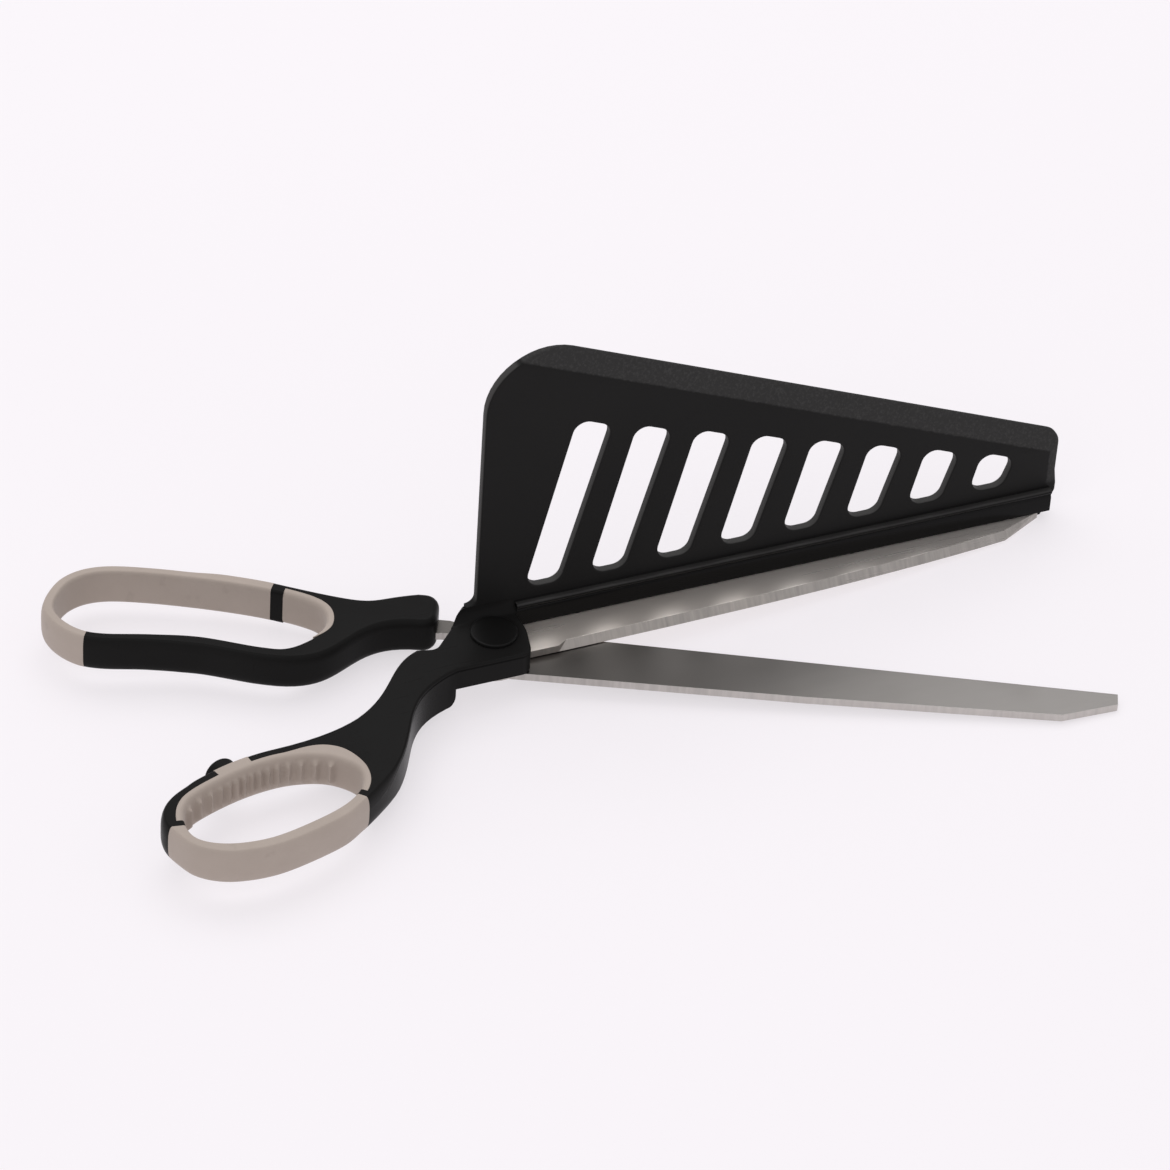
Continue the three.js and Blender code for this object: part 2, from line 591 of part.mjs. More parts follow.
/** Soft lugs of the thumb lining in the rims of the frame, or their notches when grown by a clearance. */
function windowLugs(grow) {
  const half = WINDOW_ARC / 2 + THREE.MathUtils.radToDeg(grow / (THUMB_HOLE_WIDTH / 2));
  const zone = wedge(thumbCentre, [BUMPER_BEARING - half, BUMPER_BEARING + half], THUMB_HOLE_LENGTH);
  const outline = offset(thumbHole, BAND_THICKNESS + grow);
  const inside = prism(offset(thumbHole, LINING / 2), bandBottom - REACH, bandTop + REACH);
  const inner = BUMPER_STEM + FIT + WINDOW_WALL - grow + FIT;
  const outer = BAND_HEIGHT / 2 + grow;
  const ring = (bottom, top) => cut(prism(outline, bottom, top), inside).intersect(prism(zone, bottom, top));
  return join(ring(bandMiddle - outer, bandMiddle - inner), ring(bandMiddle + inner, bandMiddle + outer));
}

const bumperSeat = atBearing(thumbRim, thumbCentre, BUMPER_BEARING);
const bumperWall = BAND_THICKNESS - LINING - FIT;

/** Bumper along +Z from its seat: a stem in the frame and a domed head outside it. */
function bumper() {
  const stem = [[0, -bumperWall], [BUMPER_STEM, -bumperWall], [BUMPER_STEM, FIT], [BUMPER_RADIUS, FIT]];
  const dome = Array.from({ length: ROUND_STEPS + 1 }, (_, i) => {
    const turn = (Math.PI / 2) * (i / ROUND_STEPS);
    return [BUMPER_RADIUS * Math.cos(turn), BUMPER_LENGTH - BUMPER_DOME * (1 - Math.sin(turn))];
  });
  return turned([...stem, ...dome]);
}

/** Turn and place of the bumper on the thumb loop. */
const bumperTurn = new THREE.Quaternion().setFromUnitVectors(
  new THREE.Vector3(0, 0, 1),
  new THREE.Vector3(bumperSeat.outward.x, bumperSeat.outward.y, 0),
);
const bumperPlace = new THREE.Vector3(bumperSeat.place.x, bumperSeat.place.y, bandMiddle);

/** Hole in the thumb frame for the bumper's stem. */
function stemHole() {
  const radius = BUMPER_STEM + FIT;
  const depth = BAND_THICKNESS;
  const geometry = turnedGeometry([[0, -depth], [radius, -depth], [radius, depth], [0, depth]]);
  return solid(geometry.applyQuaternion(bumperTurn).translate(...bumperPlace));
}

function thumbPieces() {
  const ribPitch = (RIB_LAST - RIB_FIRST) / (RIB_COUNT - 1);
  const neck = cut(
    prism(thumbNeck(), bandBottom, housingTop),
    disc(NECK_CLEARANCE, bandBottom - REACH, spatulaLevel),
  );
  const { frame, sleeve, lining } = loopPieces({
    hole: thumbHole,
    rim: thumbHeel(),
    centre: thumbCentre,
    length: THUMB_HOLE_LENGTH,
    width: THUMB_HOLE_WIDTH,
    posts: [THUMB_POST_LEFT, THUMB_POST_RIGHT],
    liningFrom: THUMB_POST_RIGHT + POST_ARC / 2 - 360,
    neck: cut(join(neck, housing()), neckRamp()),
    ribs: Array.from({ length: RIB_COUNT }, (_, i) => RIB_FIRST + i * ribPitch),
  });
  const boltWay = join(
    disc(headBore, headWasherLevel - FIT, housingTop + FIT),
    disc(pivotHole, spatulaLevel, headWasherLevel),
  );
  const handle = cut(frame, spatulaBladePocket(), boltWay, tongue(FIT), windowLugs(FIT), stemHole());
  return { handle, sleeve, lining: join(lining, windowLugs(0)) };
}

/** Plan of the finger neck, from its end by the pivot to the loop. */
function fingerNeck() {
  const near = fingerTangNear - FINGER_WALL_NEAR;
  const far = fingerTangFar + FINGER_WALL_FAR;
  const end = rounded([
    [FINGER_NECK_NEAR.start, near],
    [fingerNeckRight, near, FINGER_ROUND],
    [fingerNeckRight, far, FINGER_ROUND],
    [FINGER_NECK_FAR.start, far],
  ]);
  const farSide = neckSide(FINGER_NECK_FAR, far, fingerRim, fingerCentre);
  const nearSide = neckSide(FINGER_NECK_NEAR, near, fingerRim, fingerCentre);
  return [...end, ...farSide.slice(1), fingerCentre, ...nearSide.reverse().slice(0, -1)];
}

function fingerPieces() {
  const { frame, sleeve, lining } = loopPieces({
    hole: fingerHole,
    rim: fingerRim,
    centre: fingerCentre,
    length: FINGER_HOLE_LENGTH,
    width: FINGER_HOLE_WIDTH,
    posts: [FINGER_POST_RIGHT, FINGER_POST_LEFT],
    liningFrom: FINGER_LINING,
    neck: prism(fingerNeck(), bandBottom, bandTop),
  });
  const slot = prism(offset(fingerTang(), FIT), cuttingLevel - FIT, cuttingLevel + BLADE_THICKNESS + FIT);
  return { handle: cut(frame, slot), sleeve, lining };
}

// Spatula

/** Height of the plate's sloping top at a place along the blade. */
function plateTop(x) {
  const share = (x - PLATE_LEFT) / (plateRight - PLATE_LEFT);
  return railLevel + PLATE_TALL + (PLATE_SHORT - PLATE_TALL) * share;
}

/** Outline of one leaning slot, in X and Z. */
function slot(i) {
  const pitch = (plateRight - SLOT_END - SLOT_WIDTH - SLOT_FIRST) / (SLOT_COUNT - 1);
  const left = SLOT_FIRST + i * pitch;
  const foot = railLevel + RAIL_HEIGHT + SLOT_FOOT;
  const lean = Math.tan(radians(SLOT_LEAN));
  const margin = THREE.MathUtils.mapLinear(left, PLATE_LEFT, plateRight, SLOT_HEAD_LEFT, SLOT_HEAD_RIGHT);
  const head = (x) => plateTop(x) - margin;
  const rise = head(left) - foot;
  const topLeft = left + rise * lean;
  const topRight = topLeft + SLOT_WIDTH;
  return rounded([
    [left, foot, SLOT_ROUND],
    [left + SLOT_WIDTH, foot, SLOT_ROUND],
    [topRight, head(topRight), SLOT_ROUND],
    [topLeft, head(topLeft), SLOT_ROUND],
  ]);
}

/** Space in front of the bevel along the plate's sloping top. */
function bevelSpace() {
  const start = new THREE.Vector3(PLATE_LEFT, 0, plateTop(PLATE_LEFT));
  const run = new THREE.Vector3(plateRight, 0, plateTop(plateRight)).sub(start);
  const along = run.clone().normalize();
  const back = new THREE.Vector3(0, 1, 0);
  const outline = [
    point(plateFront, -BEVEL_WIDTH),
    point(plateFront + 2 * (PLATE_THICKNESS - BEVEL_EDGE), BEVEL_WIDTH),
    point(railFront, BEVEL_WIDTH),
    point(railFront, -BEVEL_WIDTH),
  ];
  const place = new THREE.Matrix4().makeBasis(back, along.clone().cross(back), along).setPosition(start);
  return solid(drawnOut(outline, run.length()).applyMatrix4(place));
}

function spatula() {
  const railStart = HOUSING_RIGHT + FIT;
  const foot = ledgeTop + FIT;
  const toe = SPATULA_BLADE_LENGTH + FIT;
  const outline = rounded([
    [PLATE_LEFT, foot + FLARE_FOOT, FLARE],
    [PLATE_LEFT - FLARE, foot + FLARE_FOOT],
    [PLATE_LEFT - FLARE, foot],
    [railStart, foot],
    [railStart, spatulaLevel],
    [plateRight, spatulaLevel, HEEL_ROUND],
    [plateRight, plateTop(plateRight), TOE_ROUND],
    [PLATE_LEFT, plateTop(PLATE_LEFT), PLATE_ROUND],
  ]);
  const slots = Array.from({ length: SLOT_COUNT }, (_, i) => slot(i));
  const plate = upright(outline, plateFront, plateBack, slots);
  const railTop = railLevel + RAIL_HEIGHT;
  const railEnd = plateRight - RAIL_INSET;
  const railSpace = block(railStart, railEnd, railFront, plateBack, spatulaLevel, railTop);
  const rail = upright(outline, railFront, plateBack).intersect(railSpace);
  const bladeSpace = block(0, toe, 0, plateBack + FIT, spatulaLevel - FIT, railLevel);
  const holes = screws(FIT, railLevel + SCREW_GRIP + FIT);
  return cut(join(plate, rail, tongue(0)), bladeSpace, bevelSpace(), ...holes);
}

// Pivot pieces, each on its own level

function pivotBolt() {
  const shank = disc(boltRadius, NUT_FLANGE + FIT, headLevel + FIT);
  const top = headLevel + HEAD_HEIGHT;
  const head = disc(HEAD_DIAMETER / 2, headLevel, top);
  return cut(join(shank, head), hexagon(SOCKET_WIDTH, top - SOCKET_DEPTH, top + FIT));
}

/** Flat nut with a barrel that the blades turn on. Two holes in its flange take a spanner. */
function pivotNut() {
  const bore = boltRadius + FIT;
  const rim = washerRadius;
  const top = headWasherLevel - FIT;
  const profile = [[0, 0], [rim, 0], [rim, NUT_FLANGE], [barrelRadius, NUT_FLANGE], [barrelRadius, top]];
  const nut = turned([...profile, [bore, top], [bore, NUT_FLANGE], [0, NUT_FLANGE]]);
  const hole = SPANNER_HOLE / 2;
  const tool = turnedGeometry([[0, -FIT], [hole, -FIT], [hole, SPANNER_DEPTH], [0, SPANNER_DEPTH]]);
  const places = [-SPANNER_PITCH / 2, SPANNER_PITCH / 2];
  return cut(nut, ...places.map((x) => solid(tool.clone().translate(x, 0, 0))));
}

const washer = (bore, level) => tube(bore, washerRadius, level, level + WASHER_THICKNESS);

function springWasher() {
  const bore = boltRadius + FIT;
  const rim = washerRadius;
  const low = springLevel;
  const high = springLevel + SPRING_DISH;
  return turned([[bore, high], [rim, low], [rim, low + SPRING_THICKNESS], [bore, high + SPRING_THICKNESS]]);
}

function pivotCap() {
  const seat = housingTop + FIT;
  const skirt = headBore - FIT;
  const skirtBore = skirt - CAP_SKIRT;
  const top = seat + CAP_THICKNESS;
  const lip = headBore + CAP_LIP;
  const ring = [[skirtBore, seat], [skirtBore, headLevel], [skirt, headLevel], [skirt, seat]];
  return turned([[0, seat], ...ring, [lip, seat], [lip, top], [0, top]]);
}

// Assembly

const thumb = thumbPieces();
const finger = fingerPieces();

const stopBumper = piece('stop_bumper', bumper(), blackPlastic);
stopBumper.quaternion.copy(bumperTurn);
stopBumper.position.copy(bumperPlace);

const spatulaHalf = new THREE.Group();
spatulaHalf.add(
  piece('spatula_blade', spatulaBlade(), steel),
  piece('thumb_handle', thumb.handle, blackPlastic),
  piece('thumb_outer_grip', thumb.sleeve, softTaupe),
  piece('thumb_inner_grip', thumb.lining, softTaupe),
  stopBumper,
  piece('spatula', spatula(), mattBlack),
  ...screws(0, railLevel + SCREW_GRIP).map((body, i) => piece(`spatula_screw_${i + 1}`, body, zinc)),
  piece('pivot_bolt', pivotBolt(), zinc),
  piece('pivot_nut', pivotNut(), zinc),
  piece('head_washer', washer(boltRadius + FIT, headWasherLevel), zinc),
  piece('blade_washer', washer(pivotHole, washerLevel), zinc),
  piece('spring_washer', springWasher(), steel),
  piece('pivot_cap', pivotCap(), blackPlastic),
);

const cuttingHalf = new THREE.Group();
cuttingHalf.rotation.z = radians(-REST_ANGLE);
cuttingHalf.add(
  piece('cutting_blade', cuttingBlade(), steel),
  piece('finger_handle', finger.handle, blackPlastic),
  piece('finger_outer_grip', finger.sleeve, softTaupe),
  piece('finger_inner_grip', finger.lining, softTaupe),
);

const scissors = new THREE.Group();
scissors.add(spatulaHalf, cuttingHalf);

export default scissors;
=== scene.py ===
"""Finish of the pizza scissors: moulded handles, soft grips, a slotted spatula and brushed blades.

Shapes are worked out in millimetres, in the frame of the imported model, and scaled to metres at the end.
The cutting half is shaped shut, along +X, and turned open at the end.
"""

import math

import bmesh
import bpy
from mathutils import Matrix, Vector
from mathutils.geometry import interpolate_bezier


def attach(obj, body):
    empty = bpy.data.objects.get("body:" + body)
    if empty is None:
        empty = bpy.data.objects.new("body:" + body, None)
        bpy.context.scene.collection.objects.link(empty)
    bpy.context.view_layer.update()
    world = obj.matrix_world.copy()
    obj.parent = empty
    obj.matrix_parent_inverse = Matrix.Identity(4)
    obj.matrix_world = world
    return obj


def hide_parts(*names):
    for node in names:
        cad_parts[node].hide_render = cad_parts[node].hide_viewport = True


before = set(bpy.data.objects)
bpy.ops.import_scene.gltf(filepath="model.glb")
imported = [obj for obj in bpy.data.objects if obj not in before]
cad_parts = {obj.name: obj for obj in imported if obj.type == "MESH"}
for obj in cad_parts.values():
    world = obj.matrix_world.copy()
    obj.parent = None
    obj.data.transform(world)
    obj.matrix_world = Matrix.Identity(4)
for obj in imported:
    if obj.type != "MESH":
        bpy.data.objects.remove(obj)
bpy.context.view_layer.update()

MM = 0.001
FIT = 0.3
REST_ANGLE = 26
SPATULA_HALF = "spatula_half"
CUTTING_HALF = "cutting_half"

# Levels over the nut's foot
SPATULA_LEVEL = 5.1
RAIL_LEVEL = 7.9
HEAD_WASHER_LEVEL = 9.6
HEAD_LEVEL = 11.2
HOUSING_TOP = 13.1
CAP_TOP = 14.3
LEDGE_TOP = 16.1
BAND_MIDDLE = 4.95
BAND_HEIGHT = 12
BAND_BOTTOM = BAND_MIDDLE - BAND_HEIGHT / 2
BAND_TOP = BAND_MIDDLE + BAND_HEIGHT / 2

# Loops. A round is (width, height), a span is (start, end, rise, fall), and bearings are in degrees.
BAND = 3.8
LINING = 2.35
SEAT = 0.05
THUMB_POST_ARC = 4.2
FINGER_POST_ARC = 5.4
POST_EDGE = 3.25
SEAM = 0.05
DOME = (1.3, 4.5)
INNER_ROUND = (0.9, 1.5)
LINING_ROUND = (1.5, 2.2)
FINE_ROUND = (0.15, 0.15)
NECK_ROUND = (0.8, 0.8)
END_ROUND_LEAD = 1.4
END_ROUND_FADE = 14
CURVE_STEPS = 20
NECK_STEPS = 24
THUMB_CENTRE = (-85.2, -46)
THUMB_LENGTH = 55
THUMB_WIDTH = 30
THUMB_TILT = 6
THUMB_SHARES = (
    (-0.497, 0.01), (-0.48, -0.22), (-0.352, -0.395), (-0.148, -0.48), (0.088, -0.445), (0.312, -0.35),
    (0.452, -0.19), (0.503, 0.03), (0.45, 0.24), (0.346, 0.39), (0.167, 0.484), (-0.066, 0.475),
    (-0.322, 0.37), (-0.44, 0.24),
)
FINGER_CENTRE = (-89, 2.8)
FINGER_LENGTH = 82.4
FINGER_WIDTH = 28
FINGER_SHARES = (
    (-0.5, -0.06), (-0.476, -0.28), (-0.4, -0.46), (-0.31, -0.51), (-0.14, -0.46), (0.039, -0.435),
    (0.257, -0.52), (0.358, -0.5), (0.442, -0.28), (0.474, 0.02), (0.43, 0.25), (0.279, 0.4),
    (0.075, 0.485), (-0.181, 0.52), (-0.36, 0.475), (-0.461, 0.28),
)
THUMB_POST_LEFT = 183
THUMB_POST_RIGHT = -10.5
FAR_RIM = 1.1
FAR_RIM_SPAN = (40, 172, 24, 24)
NEAR_RIM = 0.9
NEAR_RIM_SPAN = (190, 355, 30, 30)
THUMB_HEEL = 2.8
THUMB_HEEL_BEARING = 176
THUMB_HEEL_ARC = 22
SWELL = 2.6
SWELL_BEARING = 29
SWELL_ARC = 25
SWELL_ARC_FAR = 32
FINGER_POST_RIGHT = 25.2
FINGER_POST_LEFT = -151.7
FINGER_RIM = 0.8
FINGER_RIM_FAR_SPAN = (-5, 110, 20, 50)
FINGER_RIM_NEAR_SPAN = (-150, -5, 60, 20)
FINGER_LINING = -17
FINGER_LINING_START = 4
LINING_TAPER = 15
TAPER_ROUND = (0.05, 0.1)
LINING_BACK_ROUND = (0.04, 0.04)
BAR_FADE = 0.8
RIB_COUNT = 15
RIB_FIRST = 28
RIB_LAST = 166
RIB_DEPTH = 1.6
RIB_ROOT = 0.4
RIB_POWER = 4
RIB_END = 6
RIB_SPAN = (BAND_BOTTOM + 1, BAND_TOP - 1.7, 2.5, 1.4)
BUMPER_BEARING = 112.6
BUMPER_SHIFT = 1.2
BUMPER_DROP = 1
BUMPER_RADIUS = 5
BUMPER_LENGTH = 5.5
BUMPER_SHOULDER = 1.4
BUMPER_STEM = 2.2
BUMPER_ROOT = 1.4
BUMPER_FOOT = 0.5
BUMPER_CROWN = ((1, 0.25), (0, 0.3))
WINDOW_ARC = 38
WINDOW_FIT = 4
WINDOW_MORE = 2
WINDOW_MIDDLE = 3
WINDOW_SINK = 0.6
WINDOW_OVER = 1
WINDOW_ROUND = (0.5, 0.5)

# Housing and necks
HOUSING_RIGHT = 10
HOUSING_NEAR = 11.7
HOUSING_SHOULDER = 5.5
HOUSING_WAIST = (-18.5, -1)
HOUSING_ROUND = 3
HOUSING_NEAR_ROUND = 4
HOUSING_BACK_ROUND = 1.2
HOUSING_END_LEAN = 2.4
HOUSING_END_BEND = -1
HOUSING_END_ROUND = 8
HEAD_BORE = 6.5
BORE_OVER = 0.9
CAP_RADIUS = 7.1
CAP_ROUND = 0.45
CAP_SEAT = 0.05
CAP_ANGLES = (0, 22, 45, 68, 90)
CAP_CROWN = ((0, 0.12), (3.5, 0.09))
SLOPE_FRONT = 6.4
SLOPE_SINK = 1.4
SLOPE_RISE = 1.2
SLOPE_ROUND = (2.4, 3.4)
SLOPE_LIP = (0.5, 0.4)
SLOPE_SHELF = 0.9
SLOPE_FADE_START = -1
SLOPE_FADE = 3
SLOPE_BELOW = 4
SLOPE_OVER = 0.3
TRIM = 0.02
WAIST_TRIM = 0.1
THUMB_NECK_NEAR = (-16, -HOUSING_NEAR)
THUMB_NECK_FAR = (-24, 0.8)
THUMB_JOIN_NEAR = -20
THUMB_JOIN_FAR = 66
NECK_CLEARANCE = 20
NECK_BEARING = 213
CLEARANCE_ASIDE = 60
CLEARANCE_BEYOND = -80
CLEARANCE_OVER = 0.2
CLEARANCE_UNDER = 2
STEP_ROUND = 3.6
NECK_RAMP_START = -18.5
NECK_RAMP_END = -50.5
MANY_CORNERS = 50
CREASE = ((0.75, 0), (0.45, 1), (0.15, 0))
CREASE_DEPTH = 0.4
CREASE_SPAN = (-56, HOUSING_RIGHT - 1, 18, 5)
CREASE_AIM = (0.35, -0.94)
CREASE_TURN = 0.25
FINGER_NECK_RIGHT = -17.3
FINGER_NECK_NEAR = (-22, 5.2)
FINGER_NECK_FAR = (-24, 19.5)
FINGER_NECK_ROUND = 4.5
FINGER_JOIN_NEAR = -32
FINGER_JOIN_FAR = 26
BAR_ROUND = (1.5, 3.6)
NOSE_ROUND = (2.0, 2.8)
NOSE_START = -50
NOSE_FADE = 22

# Spatula
PLATE_LEFT = -2.2
PLATE_RIGHT = 188.6
PLATE_FRONT = 9.1
PLATE_BACK = 12.1
PLATE_FOOT = 15.4
FLARE_TOP = 17
PLATE_TOP_LEFT = 115.8
PLATE_TOP_RIGHT = 35.6
PLATE_ROUND_LEFT = 19.5
PLATE_ROUND_RIGHT = 7
PLATE_TOE = (4, 9)
PLATE_EDGE = 0.7
BEVEL_WIDTH = 7
BEVEL_EDGE = 0.9
END_BEVEL_WIDTH = 3.6
END_BEVEL_DEPTH = 1.5
END_BEVEL_FADE = 4
FLARE = 3
RAIL_FRONT = 7
RAIL_TOP = 15.8
RAIL_EDGE = 0.25
BEAD = 0.75
BEAD_SET = 0.55
BEAD_TURN = 125
BEAD_STEP = 25
GROOVE = 0.35
GROOVE_TOP = 1.9
GROOVE_FOOT = 2.9
RAIL_LEFT = 10.05
RAIL_RIGHT = 186.4
BLADE_END = 183.3
SLOT_COUNT = 8
SLOT_FIRST = 13
SLOT_END = 18.8
SLOT_WIDTH = 11.2
SLOT_LEAN = 12
SLOT_ROUND = 4
SLOT_FOOT = 20
SLOT_HEAD_LEFT = 26
SLOT_HEAD_RIGHT = 10

# Blades, floor, light and camera
BLADE_EDGE = 0.13
MERGE = 0.002
FLAT_ANGLE = 0.5
SHARP_ANGLE = 38
FLOOR_LEAN = (-0.0435, -0.0238, 1)
FLOOR_DROP = 3.24
FLOOR_REACH = 6
FLOOR_GLOW = (0.64, 0.615, 0.635, 1)
FLOOR_TONES = ((0.29, 0.28, 0.29, 1), (0.31, 0.3, 0.31, 1))
STUDIO_TONE = (0.98, 0.97, 1, 1)
STUDIO_STRENGTH = 0.7
SENSOR = 36
FOCAL_PIXELS = 5500
FRAME_PIXELS = 1170
CAMERA_PLACE = (-501.4, -1149.3, 1037.55)
CAMERA_TURN = (51.25, -3.078, -22.278)

# Tones
WARMTH = 0.03
PLATE_TONES = (0.0085, 0.0115)
# Painted highlight on the slots' sides, painted shade on the rail's front and a painted highlight along the
# rail's bead.
SLOT_WALL_HIGHLIGHT_TONE = 0.045
RAIL_SHADE_TONE = 0.004
BEAD_HIGHLIGHT_TONE = 0.035
BEVEL_TONE = 0.048
TAUPE_TONES = ((0.37, 0.31, 0.265, 1), (0.44, 0.374, 0.326, 1))
RUBBED_TONE = (0.3, 0.25, 0.21, 1)
ZINC_TONES = ((0.4, 0.4, 0.39, 1), (0.56, 0.555, 0.54, 1))


# Outlines


def polar(bearing, radius):
    return Vector((math.cos(math.radians(bearing)), math.sin(math.radians(bearing)))) * radius


def bearing_of(vector):
    return math.degrees(math.atan2(vector.y, vector.x))


def smooth(share):
    share = min(max(share, 0), 1)
    return share * share * (3 - 2 * share)


def plateau(value, start, end, rise, fall):
    """1 inside a span and 0 outside it, with soft ends."""
    return smooth((value - start) / rise) * smooth((end - value) / fall)


def quarter(steps):
    """Angles of a quarter turn, from 0 on."""
    return [math.pi / 2 * k / steps for k in range(steps + 1)]


def closed_curve(knots):
    """Smooth closed outline through some knots."""
    count = len(knots)
    outline = []
    for i, knot in enumerate(knots):
        before, after, beyond = knots[i - 1], knots[(i + 1) % count], knots[(i + 2) % count]
        leave = knot + (after - before) / 6
        arrive = after - (beyond - knot) / 6
        outline += interpolate_bezier(knot, leave, arrive, after, CURVE_STEPS + 1)[:-1]
    return [Vector(p[:2]) for p in outline]


def rounded(corners, steps=8):
    """Outline with straight sides and a round at each corner (x, y, radius)."""
    outline = []
    for i, (x, y, *radius) in enumerate(corners):
        corner = Vector((x, y))
        if not radius:
            outline.append(corner)
            continue
        back = (Vector(corners[i - 1][:2]) - corner).normalized()
        ahead = (Vector(corners[(i + 1) % len(corners)][:2]) - corner).normalized()
        half = back.angle(ahead) / 2
        centre = corner + (back + ahead).normalized() * (radius[0] / math.sin(half))
        start = corner + back * (radius[0] / math.tan(half)) - centre
        sweep = math.copysign(math.pi - 2 * half, ahead.cross(back))
        outline += [centre + Matrix.Rotation(sweep * k / steps, 2) @ start for k in range(steps + 1)]
    return outline


class Loop:
    """Thumb or finger hole: the smooth outline that its frame, sleeve and lining are drawn from."""

    def __init__(self, shares, centre, length, width, tilt=0):
        self.centre = Vector(centre)
        turn = Matrix.Rotation(math.radians(tilt), 2)
        knots = [turn @ Vector((u * length, v * width)) + self.centre for u, v in shares]
        self.outline = closed_curve(knots)
        count = len(self.outline)
        runs = [self.outline[(i + 1) % count] - self.outline[i - 1] for i in range(count)]
        self.normals = [Vector((run.y, -run.x)).normalized() for run in runs]
        self.bearings = [bearing_of(p - self.centre) for p in self.outline]

    def at(self, bearing):
        """Point at a bearing from the centre, and its outward normal."""
        for i, start in enumerate(self.bearings):
            after = (i + 1) % len(self.outline)
            span = (self.bearings[after] - start) % 360
            turn = (bearing - start) % 360
            if turn <= span:
                share = turn / span
                point = self.outline[i].lerp(self.outline[after], share)
                return point, self.normals[i].lerp(self.normals[after], share).normalized()

    def arc(self, start, end, depth=0, least=0.7):
        """Points from one bearing round to a larger one, pushed out by a depth or by depth(bearing)."""
        reach = depth if callable(depth) else lambda bearing: depth
        turns = sorted(((bearing - start) % 360, i) for i, bearing in enumerate(self.bearings))
        inner = [(start + turn, i) for turn, i in turns if least < turn < end - start - least]
        first, first_normal = self.at(start)
        last, last_normal = self.at(end)
        points = [first + first_normal * reach(start)]
        points += [self.outline[i] + self.normals[i] * reach(bearing) for bearing, i in inner]
        return points + [last + last_normal * reach(end)]

    def depth(self, point):
        """How far a point lies outside the hole's outline."""
        place, normal = self.at(bearing_of(point - self.centre))
        return (point - place).dot(normal)


def neck_side(start, loop, bearing, rim, slope, leave, arrive):
    """One side of a neck, from its start by the pivot to a tangent end on the loop's rim.

    It leaves at a slope. The two lengths say how far it keeps to its aims.
    """
    start = Vector(start)
    place, normal = loop.at(bearing)
    place = place + normal * rim(bearing)
    along = Vector((-normal.y, normal.x))
    if along.dot(start - place) < 0:
        along = -along
    first, second = start + polar(slope, leave), place + along * arrive
    return [Vector(p[:2]) for p in interpolate_bezier(start, first, second, place, NECK_STEPS)]


def parted(curve, place, aim, least=0.4):
    """The two parts of a curve, where it crosses the line from a place along an aim.

    Points closer to the crossing than a least distance are dropped.
    """
    sides = [aim.cross(p - place) for p in curve]
    i = next(i for i in range(len(curve) - 1) if sides[i] > 0 >= sides[i + 1])
    share = sides[i] / (sides[i] - sides[i + 1])
    crossing = curve[i].lerp(curve[i + 1], share)
    before = [p for p in curve[: i + 1] if (p - crossing).length > least]
    after = [p for p in curve[i + 1 :] if (p - crossing).length > least]
    return before + [crossing], [crossing] + after


thumb = Loop(THUMB_SHARES, THUMB_CENTRE, THUMB_LENGTH, THUMB_WIDTH, THUMB_TILT)
finger = Loop(FINGER_SHARES, FINGER_CENTRE, FINGER_LENGTH, FINGER_WIDTH)


# Mesh tools


def prism(corners, vector):
    """Solid drawn from a flat face along a vector."""
    bm = bmesh.new()
    face = bm.faces.new([bm.verts.new(corner) for corner in corners])
    grown = bmesh.ops.extrude_face_region(bm, geom=[face])["geom"]
    moved = [v for v in grown if isinstance(v, bmesh.types.BMVert)]
    bmesh.ops.translate(bm, vec=vector, verts=moved)
    bmesh.ops.recalc_face_normals(bm, faces=bm.faces)
    return bm


def split(bm, faces, place, normal):
    """Cuts faces along a plane, and keeps both sides."""
    geom = list({part for face in faces for part in (face, *face.edges, *face.verts)})
    bmesh.ops.bisect_plane(bm, geom=geom, plane_co=place, plane_no=normal)


def turned(profile, steps=64):
    """Solid turned about Z from a profile of (radius, height) that starts and ends on the axis."""
    bm = bmesh.new()
    verts = [bm.verts.new((radius, 0, height)) for radius, height in profile]
    edges = [bm.edges.new(pair) for pair in zip(verts, verts[1:])]
    bmesh.ops.spin(
        bm,
        geom=verts + edges,
        cent=(0, 0, 0),
        axis=(0, 0, 1),
        angle=2 * math.pi,
        steps=steps,
        use_merge=True,
    )
    bmesh.ops.remove_doubles(bm, verts=bm.verts, dist=0.001)
    bmesh.ops.recalc_face_normals(bm, faces=bm.faces)
    return bm


def mesh_of(bm, name):
    mesh = bpy.data.meshes.new(name)
    bm.to_mesh(mesh)
    bm.free()
    return mesh


def helper(bm):
    """Object that carries a solid while modifiers work on it."""
    obj = bpy.data.objects.new("helper", mesh_of(bm, "helper"))
    bpy.context.scene.collection.objects.link(obj)
    return obj


def applied(obj, *others):
    """Solid of a helper with its modifiers applied."""
    result = bmesh.new()
    result.from_object(obj, bpy.context.evaluated_depsgraph_get())
    for done in (obj, *others):
        bpy.data.objects.remove(done)
    return result


def ease(bm, radius, segments=4, sharp=35, least=0):
    """Rounds the sharp edges, from a least length on."""
    bm.normal_update()
    edges = [e for e in bm.edges if len(e.link_faces) == 2 and e.calc_length() >= least]
    edges = [e for e in edges if e.calc_face_angle() > math.radians(sharp)]
    bmesh.ops.bevel(
        bm,
        geom=edges,
        offset=radius,
        offset_type="OFFSET",
        segments=segments,
        profile=0.5,
        affect="EDGES",
        clamp_overlap=False,
        material=-1,
    )
    return bm


def run_normals(points):
    """Outward normals along a run of an outline that goes counter-clockwise."""
    last = len(points) - 1
    aims = [points[min(i + 1, last)] - points[max(i - 1, 0)] for i in range(last + 1)]
    return [Vector((aim.y, -aim.x)).normalized() for aim in aims]


